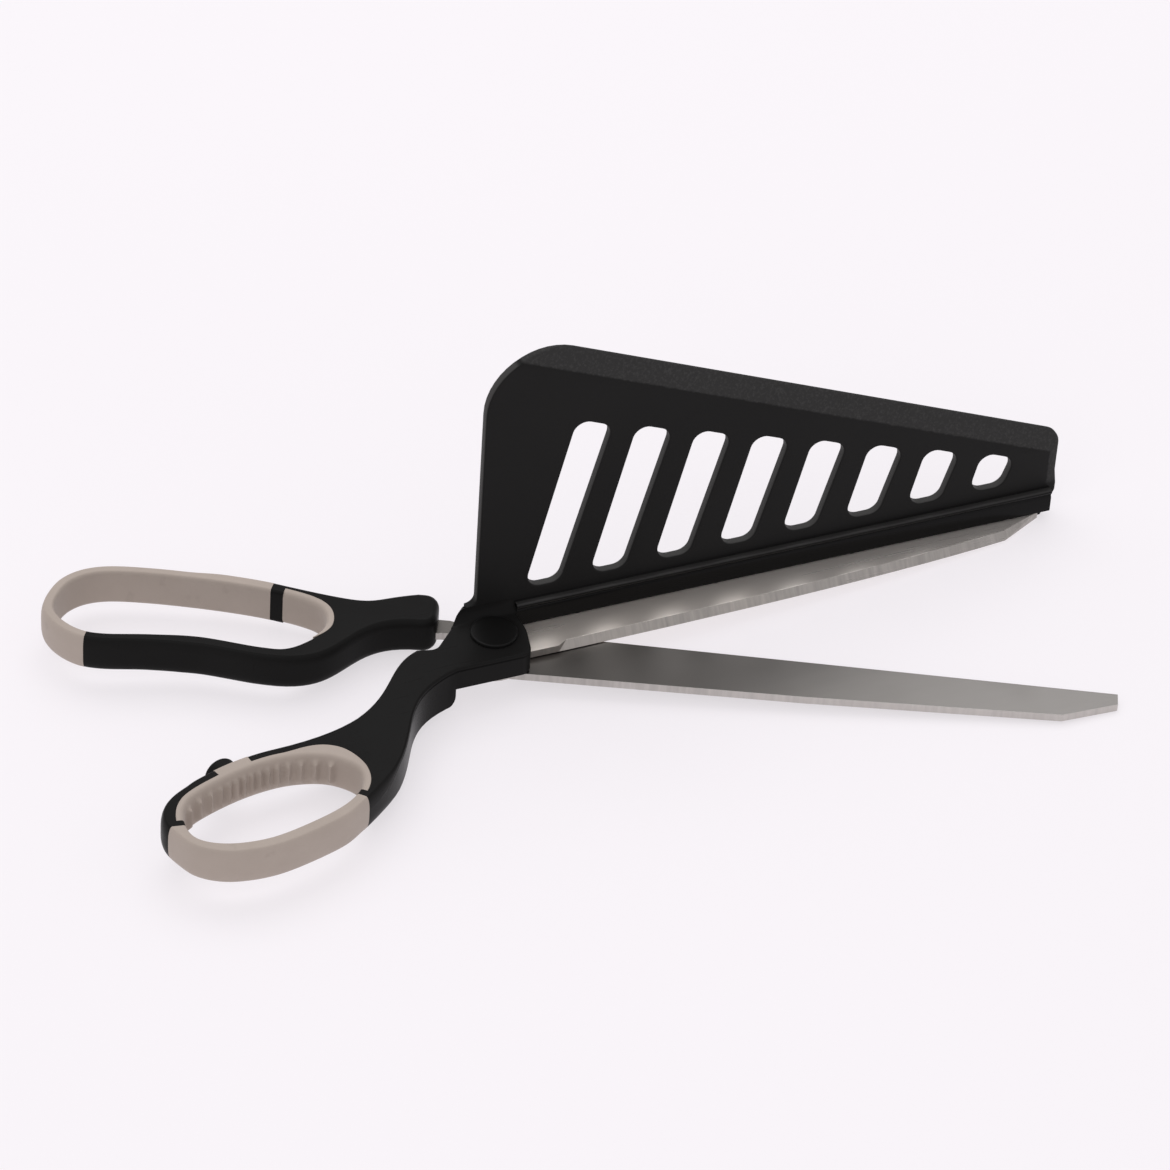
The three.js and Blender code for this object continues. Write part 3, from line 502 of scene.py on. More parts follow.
def moulded(runs, bottom, top, crease=None, levels=1, steps=5):
    """Solid of a plan between two heights, drawn up ring by ring.

    The plan is made of runs of points. Each has the width and the height, or both by point, of the round
    along its lower and upper edges. A run ends at a square corner. The top can also be by point.
    A crease(point, normal) gives the depth of a thin groove under the upper edge.
    """
    rim = []
    for points, radius in runs:
        for p, normal in zip(points, run_normals(points)):
            width, height = radius(p) if callable(radius) else radius
            rim.append((p, normal, width, height, top(p) if callable(top) else top))
    rounds = [(1 - math.sin(a), 1 - math.cos(a)) for a in quarter(steps)]
    rings = [[(w * inset, bottom + h * rise) for *_, w, h, _ in rim] for inset, rise in rounds]
    for k in range(1, levels):
        rings.append([(0, bottom + h + (t - bottom - 2 * h) * k / levels) for *_, h, t in rim])
    if crease:
        depths = [crease(p, normal) for p, normal, *_ in rim]
        for drop, share in CREASE:
            rings.append([(depth * share, t - h - drop) for depth, (*_, h, t) in zip(depths, rim)])
    rings += [[(w * inset, t - h * rise) for *_, w, h, t in rim] for inset, rise in reversed(rounds)]
    bm = bmesh.new()
    number = bm.verts.layers.int.new("place_on_rim")
    verts = [bm.verts.new() for _ in rim]
    for i, v in enumerate(verts):
        v[number] = i
    face = bm.faces.new(verts)
    for ring in rings:
        for v in face.verts:
            p, normal, *_ = rim[v[number]]
            inset, height = ring[v[number]]
            v.co = (*(p - normal * inset), height)
        if ring is rings[-1]:
            break
        grown = bmesh.ops.extrude_face_region(bm, geom=[face])["geom"]
        if ring is not rings[0]:
            bmesh.ops.delete(bm, geom=[face], context="FACES_ONLY")
        face = next(f for f in grown if isinstance(f, bmesh.types.BMFace))
    bmesh.ops.recalc_face_normals(bm, faces=bm.faces)
    return bm


def combined(bm, tools, operation):
    """Solid after other solids are joined to it, cut out of it or crossed with it."""
    body = helper(bm)
    others = [helper(tool) for tool in tools]
    for other in others:
        modifier = body.modifiers.new("carve", "BOOLEAN")
        modifier.operation = operation
        modifier.solver = "EXACT"
        modifier.object = other
    return applied(body, *others)


def carved(bm, *tools):
    return combined(bm, tools, "DIFFERENCE")


def fused(bm, *tools):
    return combined(bm, tools, "UNION")


def piece(name, bm, body, nodes, finish, shut=True):
    """Object of a solid in millimetres, riding on a body in place of CAD nodes."""
    if body == CUTTING_HALF and shut:
        turn = Matrix.Rotation(math.radians(-REST_ANGLE), 3, "Z")
        bmesh.ops.rotate(bm, cent=(0, 0, 0), matrix=turn, verts=bm.verts)
    bmesh.ops.scale(bm, vec=(MM, MM, MM), verts=bm.verts)
    mesh = mesh_of(bm, name)
    mesh.shade_smooth()
    mesh.set_sharp_from_angle(angle=math.radians(SHARP_ANGLE))
    mesh.materials.append(finish)
    obj = bpy.data.objects.new(name, mesh)
    bpy.context.scene.collection.objects.link(obj)
    modifier = obj.modifiers.new("even_shading", "WEIGHTED_NORMAL")
    modifier.keep_sharp = True
    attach(obj, body)
    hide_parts(*nodes)


# Finishes


class Wire:
    """A shader socket. Arithmetic on it adds Math nodes."""

    def __init__(self, finish, socket):
        self.finish = finish
        self.socket = socket

    def math(self, operation, first, second):
        return self.finish.node("ShaderNodeMath", {"operation": operation}, {0: first, 1: second})

    def __add__(self, other):
        return self.math("ADD", self, other)

    def __sub__(self, other):
        return self.math("SUBTRACT", self, other)

    def __rsub__(self, other):
        return self.math("SUBTRACT", other, self)

    def __mul__(self, other):
        return self.math("MULTIPLY", self, other)

    __radd__ = __add__
    __rmul__ = __mul__


class Finish:
    """A material. Even values are set on the shader's own sockets, and the rest is fed to it."""

    def __init__(self, name, **values):
        self.material = bpy.data.materials.new(name)
        self.material.use_nodes = True
        self.tree = self.material.node_tree
        self.shader = self.tree.nodes["Principled BSDF"]
        for socket, value in values.items():
            self.shader.inputs[socket.replace("_", " ")].default_value = value

    def node(self, kind, settings=None, inputs=None, output=0):
        node = self.tree.nodes.new(kind)
        for key, value in (settings or {}).items():
            setattr(node, key, value)
        for key, value in (inputs or {}).items():
            if isinstance(value, Wire):
                self.tree.links.new(value.socket, node.inputs[key])
            else:
                node.inputs[key].default_value = value
        return Wire(self, node.outputs[output])

    def place(self, scale=(1, 1, 1), turn=0):
        """Object coordinates, turned about Z and scaled."""
        coords = self.node("ShaderNodeTexCoord", output="Object")
        inputs = {"Vector": coords, "Rotation": (0, 0, math.radians(turn)), "Scale": scale}
        return self.node("ShaderNodeMapping", {"vector_type": "POINT"}, inputs)

    def parts(self, vector):
        """X, Y and Z of a vector."""
        split_xyz = self.node("ShaderNodeSeparateXYZ", inputs={0: vector}).socket.node
        return [Wire(self, socket) for socket in split_xyz.outputs]

    def noise(self, place, scale=1, detail=2.0, roughness=0.5):
        inputs = {"Vector": place, "Scale": scale, "Detail": detail, "Roughness": roughness}
        return self.node("ShaderNodeTexNoise", {}, inputs)

    def ramp(self, value, low, high):
        """0 to 1 between two values, with soft ends."""
        inputs = {"Value": value, "From Min": low, "From Max": high}
        return self.node("ShaderNodeMapRange", {"interpolation_type": "SMOOTHSTEP"}, inputs)

    def level(self, value, low, high):
        """The same between two places in millimetres."""
        return self.ramp(value, low * MM, high * MM)

    def mix(self, factor, first, second):
        """Blend of two colours."""
        return self.node("ShaderNodeMix", {"data_type": "RGBA"}, {0: factor, 6: first, 7: second}, output=2)

    def bump(self, height, distance):
        """Normal of a height given in shares of a distance in metres."""
        return self.node("ShaderNodeBump", {}, {"Height": height, "Distance": distance})

    def feed(self, **wires):
        for socket, wire in wires.items():
            self.tree.links.new(wire.socket, self.shader.inputs[socket.replace("_", " ")])


def grey(value, warm=WARMTH):
    """Grey of a tone, a little warmer than neutral."""
    return (value * (1 + warm), value, value * (1 - warm), 1)


def moulded_black(name, base, roughness, specular, grain):
    """Black moulding with a fine spark-eroded grain and faint flow clouds."""
    finish = Finish(name, Specular_IOR_Level=specular)
    place = finish.place()
    clouds = finish.noise(place, scale=45, detail=3.0)
    fine = finish.noise(place, scale=2600)
    scuffs = finish.ramp(finish.noise(finish.place((90, 900, 90)), detail=4.0), 0.6, 0.78)
    finish.feed(
        Base_Color=finish.mix(clouds, grey(base * 0.8), grey(base * 1.25)),
        Roughness=roughness + (clouds - 0.5) * 0.12 + (fine - 0.5) * 0.1 - scuffs * 0.05,
        Normal=finish.bump(fine, grain),
    )
    return finish.material


def spatula_plastic():
    """Matt black plate. Its bevel has a coarser, paler grain, the slots' sides get a painted highlight, and
    the rail is glossy, with painted shade on its front and a painted highlight along its bead.

    The bevel's border is a little ragged.
    """
    finish = Finish("spatula_plastic", Specular_IOR_Level=0.1)
    place = finish.place()
    along, front, height = finish.parts(place)
    slope = (PLATE_TOP_LEFT - PLATE_TOP_RIGHT) / (PLATE_RIGHT - PLATE_LEFT)
    squash = 1 / math.hypot(1, slope)
    below = (height + along * slope - (PLATE_TOP_LEFT + slope * PLATE_LEFT) * MM) * squash
    ragged = finish.noise(place, scale=700, detail=3.0) * (0.8 * MM)
    top = finish.level(below + ragged, -BEVEL_WIDTH + 0.1, -BEVEL_WIDTH + 0.9)
    end = finish.level(along + ragged, PLATE_RIGHT - 3.5, PLATE_RIGHT - 2.7)
    end = end * finish.level(height, RAIL_TOP + 1, RAIL_TOP + 3)
    band = 1 - (1 - top) * (1 - end)
    textured = band * (1 - finish.level(front, PLATE_BACK - 0.35, PLATE_BACK - 0.2))
    # The rail's front is glossier, which is its own finish, and painted darker, as painted shade and
    # reflection of the blade under it.
    rail_gloss_and_shade = 1 - finish.level(front, PLATE_FRONT - 0.7, PLATE_FRONT - 0.2)
    rail_gloss_and_shade = rail_gloss_and_shade * (1 - finish.level(height, RAIL_TOP, RAIL_TOP + 0.6))
    _, facing, upward = finish.parts(finish.node("ShaderNodeNewGeometry", output="Normal"))
    # Painted highlight: faces turned away from front and back, such as the slots' sides, are made paler, as
    # if lit from above.
    slot_wall_highlight = 1 - finish.ramp(facing * facing, 0.15, 0.6)
    slot_wall_highlight = slot_wall_highlight * finish.level(height, SLOT_FOOT - 2, SLOT_FOOT)
    slot_wall_highlight = slot_wall_highlight * finish.level(0 - below, BEVEL_WIDTH + 0.5, BEVEL_WIDTH + 2)
    # Painted highlight: a pale line where the bead's upper side faces up.
    bead = rail_gloss_and_shade * finish.level(height, RAIL_TOP - 1.5, RAIL_TOP - 1.1) * finish.ramp(upward, 0.25, 0.8)
    clouds = finish.noise(place, scale=30, detail=3.0)
    fine = finish.noise(place, scale=2400)
    coarse = finish.noise(place, scale=1100, detail=3.0, roughness=0.7)
    specks = finish.ramp(coarse, 0.45, 0.7)
    plain = finish.mix(clouds, *(grey(tone) for tone in PLATE_TONES))
    for share, tone in ((slot_wall_highlight, SLOT_WALL_HIGHLIGHT_TONE), (rail_gloss_and_shade, RAIL_SHADE_TONE), (bead, BEAD_HIGHLIGHT_TONE)):
        plain = finish.mix(share, plain, grey(tone))
    finish.feed(
        Base_Color=finish.mix(textured * (0.6 + 0.4 * specks), plain, grey(BEVEL_TONE, 0.02)),
        Roughness=0.56 + textured * 0.2 - rail_gloss_and_shade * 0.34 + (fine - 0.5) * 0.1,
        Normal=finish.bump(fine * (1 - textured) * 0.35 + coarse * textured * 1.1, 0.00006),
    )
    return finish.material


def soft_taupe():
    """Soft grip: warm grey rubber with a dusty sheen, faint mottling and rubbed spots."""
    finish = Finish("soft_taupe", Specular_IOR_Level=0.3, Sheen_Weight=0.12, Sheen_Roughness=0.5)
    place = finish.place()
    mottle = finish.noise(place, scale=70, detail=4.0, roughness=0.6)
    fine = finish.noise(place, scale=1900, detail=3.0)
    rubbed = finish.ramp(finish.noise(place, scale=160, detail=3.0), 0.62, 0.75)
    body = finish.mix(mottle, *TAUPE_TONES)
    finish.feed(
        Base_Color=finish.mix(rubbed * 0.3, body, RUBBED_TONE),
        Roughness=0.66 + (mottle - 0.5) * 0.14 - rubbed * 0.08,
        Normal=finish.bump(fine + mottle * 0.6, 0.00005),
    )
    return finish.material


def brushed_steel(name, turn, base, roughness, warm, metallic, edge, shade_and_stain_share=1.0):
    """Blade steel, polished along its length, with faint stains and cross scratches on its grind.

    The edge is the tone given to the grind and to the other faces that do not face up, partly the grind's own
    finish and partly painted light and shade. By the pivot the steel can be painted darker, as shade, to a
    share of its tone; that share also darkens the stains.
    """
    finish = Finish(name, Metallic=metallic)
    along = finish.noise(finish.place((18, 1700, 1700), turn), roughness=0.6)
    streaks = finish.noise(finish.place((9, 320, 320), turn), detail=3.0)
    clouds = finish.noise(finish.place((25, 60, 60), turn), detail=3.0)
    stains = finish.ramp(finish.noise(finish.place((40, 60, 60), turn), detail=1.0), 0.45, 0.85)
    tone = finish.mix(streaks * 0.4 + clouds * 0.6, grey(base * 0.9, warm), grey(base * 1.1, warm))
    # Painted shade: by the pivot the tone falls to a share of itself, fading out along the blade.
    reach = finish.level(finish.parts(finish.place(turn=turn))[0], 10, 150)
    tone = finish.mix(reach, grey(base * shade_and_stain_share, warm + 0.02), tone)
    # Faces that do not face up take the edge tone: partly the grind's own finish, partly painted light and
    # shade by their facing.
    upward = finish.parts(finish.node("ShaderNodeNewGeometry", output="Normal"))[2]
    grind_and_side_shading = 1 - finish.ramp(upward * upward, 0.9, 0.985)
    scratches = finish.noise(finish.place((900, 90, 90), turn), detail=3.0)
    tone = finish.mix(grind_and_side_shading * (0.5 + 0.5 * scratches), tone, grey(edge, warm))
    finish.feed(
        Base_Color=finish.mix(stains * 0.2, tone, grey(base * 0.8 * shade_and_stain_share, warm + 0.04)),
        Roughness=roughness + (streaks - 0.5) * 0.06 + stains * 0.03,
        Normal=finish.bump(along, 0.000006),
    )
    return finish.material


def zinc_steel():
    """Plated hardware with fine turning marks and dull patches."""
    finish = Finish("zinc_steel", Metallic=1.0)
    place = finish.place()
    patches = finish.noise(place, scale=240, detail=4.0)
    fine = finish.noise(place, scale=3200)
    finish.feed(
        Base_Color=finish.mix(patches, *ZINC_TONES),
        Roughness=0.36 + (patches - 0.5) * 0.2,
        Normal=finish.bump(fine, 0.00002),
    )
    return finish.material


handle_black = moulded_black("handle_black", base=0.011, roughness=0.3, specular=0.035, grain=0.00002)
cap_black = moulded_black("cap_black", base=0.0068, roughness=0.33, specular=0.1, grain=0.000015)
bumper_black = moulded_black("bumper_black", base=0.0065, roughness=0.5, specular=0.08, grain=0.00002)
plate_black = spatula_plastic()
taupe = soft_taupe()
spatula_steel = brushed_steel(
    "spatula_steel", turn=0, base=0.72, roughness=0.28, warm=0.07, metallic=0.65, edge=0.24
)
cutting_steel = brushed_steel(
    "cutting_steel", turn=REST_ANGLE, base=0.27, roughness=0.4, warm=0.05, metallic=1.0, edge=0.58, shade_and_stain_share=0.45
)
zinc = zinc_steel()


# Thumb handle


def hump(bearing, centre, before, after):
    """Soft hump over a bearing: 1 at its centre and 0 at its two ends."""
    away = bearing - centre
    share = abs(away) / (before if away < 0 else after)
    return math.cos(share * math.pi / 2) ** 2 if share < 1 else 0


def thumb_rim(bearing):
    """Outer depth of the thumb loop: thicker on its far and near sides, with a bulge at its left end."""
    bearing %= 360
    far = FAR_RIM * plateau(bearing, *FAR_RIM_SPAN)
    near = NEAR_RIM * plateau(bearing, *NEAR_RIM_SPAN)
    heel = THUMB_HEEL * hump(bearing, THUMB_HEEL_BEARING, THUMB_HEEL_ARC, THUMB_HEEL_ARC)
    return BAND + far + near + heel


def thumb_lining_depth(bearing):
    """Thickness of the thumb lining, which swells where the neck joins the loop."""
    return LINING + SWELL * hump(bearing, SWELL_BEARING, SWELL_ARC, SWELL_ARC_FAR)


thumb_first = THUMB_POST_RIGHT - POST_EDGE
thumb_last = THUMB_POST_LEFT + POST_EDGE
thumb_near = neck_side(THUMB_NECK_NEAR, thumb, THUMB_JOIN_NEAR, thumb_rim, slope=195, leave=28, arrive=38)


def thumb_near_parts(bearing):
    """Near side of the neck, parted square to the loop at a bearing."""
    return parted(thumb_near, *thumb.at(bearing))


def blended(share, first, second):
    return tuple(a + (b - a) * share for a, b in zip(first, second))


def end_round(places):
    """Round of the neck's edges, which grows to the sleeve's dome where the frame ends flush against it."""

    def at(point):
        away = min((point - place).length for place in places)
        return blended(smooth(END_ROUND_LEAD - away / END_ROUND_FADE), NECK_ROUND, DOME)

    return at


def thumb_runs():
    """Plan of the thumb handle: housing, neck and the frame from post to post."""
    first, last = thumb_first + SEAM, thumb_last - SEAM
    near = thumb_near_parts(first)[0]
    far = neck_side(THUMB_NECK_FAR, thumb, THUMB_JOIN_FAR, thumb_rim, slope=196, leave=16, arrive=43)
    housing = rounded(
        (
            THUMB_NECK_NEAR,
            (HOUSING_RIGHT - HOUSING_END_LEAN, -HOUSING_NEAR, HOUSING_NEAR_ROUND),
            (HOUSING_RIGHT, HOUSING_END_BEND, HOUSING_END_ROUND),
            (HOUSING_RIGHT, PLATE_BACK, HOUSING_BACK_ROUND),
            (-HOUSING_SHOULDER, PLATE_BACK, HOUSING_ROUND),
            (*HOUSING_WAIST, HOUSING_ROUND),
            THUMB_NECK_FAR,
        )
    )
    outer = near[:0:-1] + housing[:-1] + far[:-1] + thumb.arc(THUMB_JOIN_FAR, last, thumb_rim)
    post = THUMB_POST_ARC
    seat = thumb.arc(first + post, last - post, lambda b: thumb_lining_depth(b) + SEAT)
    return [
        (outer, end_round((outer[0], outer[-1]))),
        (thumb.arc(last - post, last)[::-1], INNER_ROUND),
        (seat[::-1], FINE_ROUND),
        (thumb.arc(first, first + post)[::-1], INNER_ROUND),
    ]


def neck_top(point):
    """Height of the housing's top, and of the slope from it down to the loop."""
    share = min(max((NECK_RAMP_START - point.x) / (NECK_RAMP_START - NECK_RAMP_END), 0), 1)
    return HOUSING_TOP + (BAND_TOP - HOUSING_TOP) * share


def window_band(grow, bottom, top):
    """Lug of the lining in the frame's rim, or its notch when it is grown by a fit.

    WINDOW_FIT turns that fit into degrees.
    """
    half = WINDOW_ARC / 2 + grow * WINDOW_FIT
    span = (BUMPER_BEARING - half - WINDOW_MORE, BUMPER_BEARING + half)
    outer = thumb.arc(*span, lambda b: thumb_rim(b) + grow)
    inner = thumb.arc(*span, LINING - WINDOW_SINK)[::-1]
    edge = FINE_ROUND if grow else WINDOW_ROUND
    return moulded([(outer, edge), (inner, FINE_ROUND)], bottom - grow, top + grow)


def near_crease(point, normal):
    """Depth of the crease on the near side of the housing and the neck."""
    faces_near = normal.dot(Vector(CREASE_AIM)) >= CREASE_TURN
    if not faces_near or thumb.depth(point) < BAND + FIT:
        return 0
    return CREASE_DEPTH * plateau(point.x, *CREASE_SPAN)


def foot_slope():
    """Hollow round from the housing's top up to the spatula's foot, cut off along the housing's sides."""
    front, back, foot, head = SLOPE_FRONT, PLATE_FRONT, HOUSING_TOP, LEDGE_TOP + SLOPE_RISE
    profile = [(PLATE_BACK, foot - SLOPE_SINK), (front, foot - SLOPE_SINK)]
    for a in quarter(10):
        profile.append((front + (back - front) * math.sin(a), head - (head - foot) * math.cos(a)))
    profile.append((back + SLOPE_LIP[0], head - SLOPE_LIP[1]))
    profile += [(back + SLOPE_SHELF, LEDGE_TOP), (PLATE_BACK, LEDGE_TOP)]
    reach = 2 * HOUSING_RIGHT
    bm = prism([(-reach, y, z) for y, z in profile], (2 * reach, 0, 0))
    plan = rounded(
        (
            (HOUSING_RIGHT - TRIM, 0),
            (HOUSING_RIGHT - TRIM, PLATE_BACK - TRIM, HOUSING_BACK_ROUND),
            (-HOUSING_SHOULDER, PLATE_BACK - TRIM, HOUSING_ROUND),
            (HOUSING_WAIST[0] + WAIST_TRIM, HOUSING_WAIST[1]),
        )
    )

    def edge(point):
        return blended(smooth((SLOPE_FADE_START - point.x) / SLOPE_FADE), NECK_ROUND, SLOPE_ROUND)

    bounds = moulded([(plan, edge)], foot - SLOPE_BELOW, head + SLOPE_OVER)
    return combined(bm, [bounds], "INTERSECT")


def blade_clearance(steps=6):
    """What is cut off under the blade: the neck's underside steps up to the housing in a round."""
    aim = polar(NECK_BEARING, 1)
    aside = polar(NECK_BEARING + 90, CLEARANCE_ASIDE)
    top, low = SPATULA_LEVEL + CLEARANCE_OVER, BAND_BOTTOM - CLEARANCE_UNDER
    profile = [(CLEARANCE_BEYOND, low), (CLEARANCE_BEYOND, top), (NECK_CLEARANCE, top)]
    for a in quarter(steps):
        run = NECK_CLEARANCE + STEP_ROUND * (1 - math.cos(a))
        profile.append((run, BAND_BOTTOM + STEP_ROUND * (1 - math.sin(a))))
    profile.append((NECK_CLEARANCE + STEP_ROUND, low))
    return prism([(*(aim * run + aside), height) for run, height in profile], (-2 * aside).to_3d())


def thumb_handle():
    """Housing, neck and frame. The top is split where its slope starts and ends."""
    bm = moulded(thumb_runs(), BAND_BOTTOM, neck_top, near_crease)
    for x in (NECK_RAMP_START, NECK_RAMP_END):
        top = [f for f in bm.faces if len(f.verts) > MANY_CORNERS and f.normal.z > 0.5]
        split(bm, top, (x, 0, 0), (1, 0, 0))
    floor_level, over = HEAD_WASHER_LEVEL, HOUSING_TOP + BORE_OVER
    bore = turned(((0, floor_level), (HEAD_BORE, floor_level), (HEAD_BORE, over), (0, over)))
    upper = window_band(SEAT, BAND_MIDDLE + WINDOW_MIDDLE, BAND_TOP + WINDOW_OVER)
    lower = window_band(SEAT, BAND_BOTTOM - WINDOW_OVER, BAND_MIDDLE - WINDOW_MIDDLE)
    return fused(carved(bm, blade_clearance(), bore, upper, lower), foot_slope())


def thumb_sleeve():
    start, end = thumb_last, thumb_first + 360
    neck_end = thumb_near_parts(thumb_first)[1]
    outer = thumb.arc(start, THUMB_JOIN_NEAR + 360, thumb_rim)[:-1] + neck_end[::-1]
    return moulded([(outer, DOME), (thumb.arc(start, end)[::-1], INNER_ROUND)], BAND_BOTTOM, BAND_TOP)


def rib_phase(bearing):
    """How far a rib stands out at a bearing, from 0 to 1."""
    if not RIB_FIRST - RIB_END < bearing < RIB_LAST + RIB_END:
        return 0
    phase = (bearing - RIB_FIRST) / (RIB_LAST - RIB_FIRST) * (RIB_COUNT - 1)
    return math.cos(math.pi * phase) ** RIB_POWER


def thumb_lining():
    start, end = thumb_first + THUMB_POST_ARC + SEAM, thumb_last - THUMB_POST_ARC - SEAM
    outer, inner = thumb.arc(start, end, thumb_lining_depth), thumb.arc(start, end)[::-1]
    bm = moulded([(outer, FINE_ROUND), (inner, LINING_ROUND)], BAND_BOTTOM, BAND_TOP, levels=12)
    for v in bm.verts:
        out = v.co.to_2d() - thumb.centre
        place, normal = thumb.at(bearing_of(out))
        if (v.co.to_2d() - place).dot(normal) > RIB_ROOT:
            continue
        depth = RIB_DEPTH * rib_phase(bearing_of(out)) * plateau(v.co.z, *RIB_SPAN)
        v.co -= (normal * depth).to_3d()
    lugs = [
        window_band(0, BAND_MIDDLE + WINDOW_MIDDLE, BAND_TOP),
        window_band(0, BAND_BOTTOM, BAND_MIDDLE - WINDOW_MIDDLE),
    ]
    return fused(bm, *lugs)


thumb_frame = thumb_handle()
piece("thumb_handle_moulding", thumb_frame, SPATULA_HALF, ["thumb_handle"], handle_black)
piece("thumb_sleeve", thumb_sleeve(), SPATULA_HALF, ["thumb_outer_grip"], taupe)
piece("thumb_ribbed_lining", thumb_lining(), SPATULA_HALF, ["thumb_inner_grip"], taupe)


# Finger handle


finger_first = FINGER_POST_LEFT - POST_EDGE
finger_last = FINGER_POST_RIGHT + POST_EDGE


def finger_rim(bearing):
    """Outer depth of the finger loop, which is thicker by the neck on both sides."""
    far = plateau(bearing, *FINGER_RIM_FAR_SPAN)
    near = plateau(bearing, *FINGER_RIM_NEAR_SPAN)
    return BAND + FINGER_RIM * (far + near)


def finger_lining_depth(bearing):
    """Thickness of the finger lining, which tapers out on the near side of the neck."""
    return LINING * smooth((bearing - FINGER_LINING) / LINING_TAPER)


def finger_lining_round(point):
    """Round of the lining's edges in the hole, which shrinks as the lining tapers out."""
    thick = finger_lining_depth(bearing_of(point - finger.centre)) / LINING
    return blended(thick, TAPER_ROUND, LINING_ROUND)


def finger_bar_round(point):
    """Round of the frame's edges in the hole: a round bar that ends in the lining's seat."""
    seat = finger_lining_depth(bearing_of(point - finger.centre))
    return blended(smooth(seat / BAR_FADE), INNER_ROUND, FINE_ROUND)


def finger_nose_round(point):
    """Round of the frame's outer edges: a domed bar, and a blunt nose at the neck's end."""
    return blended(smooth((point.x - NOSE_START) / NOSE_FADE), BAR_ROUND, NOSE_ROUND)


def finger_runs():
    """Plan of the finger handle: neck and the frame from post to post."""
    first, last = finger_first + SEAM, finger_last - SEAM
    near_start, far_start = FINGER_NECK_NEAR, FINGER_NECK_FAR
    near = neck_side(near_start, finger, FINGER_JOIN_NEAR, finger_rim, slope=180, leave=24, arrive=27)
    far = neck_side(far_start, finger, FINGER_JOIN_FAR, finger_rim, slope=195, leave=18, arrive=33)
    end = rounded(
        (
            near_start,
            (FINGER_NECK_RIGHT, near_start[1], FINGER_NECK_ROUND),
            (FINGER_NECK_RIGHT, far_start[1], FINGER_NECK_ROUND),
            far_start,
        )
    )
    outer = finger.arc(first, FINGER_JOIN_NEAR, finger_rim)[:-1] + near[:0:-1] + end[:-1] + far
    outer.append(finger.arc(FINGER_JOIN_FAR, last, finger_rim)[-1])
    bar = finger.arc(first, FINGER_LINING)[:-1]
    post = last - FINGER_POST_ARC
    bar += finger.arc(FINGER_LINING, post, lambda b: finger_lining_depth(b) + SEAT)
    return [
        (outer, finger_nose_round),
        (finger.arc(post, last)[::-1], INNER_ROUND),
        (bar[::-1], finger_bar_round),
    ]


def finger_lining():
    start, end = FINGER_LINING + FINGER_LINING_START, finger_last - FINGER_POST_ARC - SEAM
    outer, inner = finger.arc(start, end, finger_lining_depth), finger.arc(start, end)[::-1]
    return moulded([(outer, LINING_BACK_ROUND), (inner, finger_lining_round)], BAND_BOTTOM, BAND_TOP)


def finger_sleeve():
    start, end = finger_last, finger_first + 360
    outer, inner = finger.arc(start, end, finger_rim), finger.arc(start, end)[::-1]
    return moulded([(outer, DOME), (inner, INNER_ROUND)], BAND_BOTTOM, BAND_TOP)


finger_frame = moulded(finger_runs(), BAND_BOTTOM, BAND_TOP)
piece("finger_handle_moulding", finger_frame, CUTTING_HALF, ["finger_handle"], handle_black)
piece("finger_sleeve", finger_sleeve(), CUTTING_HALF, ["finger_outer_grip"], taupe)
piece("finger_neck_lining", finger_lining(), CUTTING_HALF, ["finger_inner_grip"], taupe)


# Spatula


def plate_top(x):
    """Height of the plate's sloping top at a place along the blade."""
    share = (x - PLATE_LEFT) / (PLATE_RIGHT - PLATE_LEFT)
    return PLATE_TOP_LEFT + (PLATE_TOP_RIGHT - PLATE_TOP_LEFT) * share


def slot_outline(i):
    """Outline of one leaning slot, in X and Z."""
    left = SLOT_FIRST + i * (PLATE_RIGHT - SLOT_END - SLOT_WIDTH - SLOT_FIRST) / (SLOT_COUNT - 1)
    share = (left - PLATE_LEFT) / (PLATE_RIGHT - PLATE_LEFT)
    margin = SLOT_HEAD_LEFT + (SLOT_HEAD_RIGHT - SLOT_HEAD_LEFT) * share
    top_left = left + (plate_top(left) - margin - SLOT_FOOT) * math.tan(math.radians(SLOT_LEAN))
    top_right = top_left + SLOT_WIDTH
    return rounded(
        (
            (left, SLOT_FOOT, SLOT_ROUND),
            (left + SLOT_WIDTH, SLOT_FOOT, SLOT_ROUND),
            (top_right, plate_top(top_right) - margin, SLOT_ROUND),
            (top_left, plate_top(top_left) - margin, SLOT_ROUND),
        )
    )


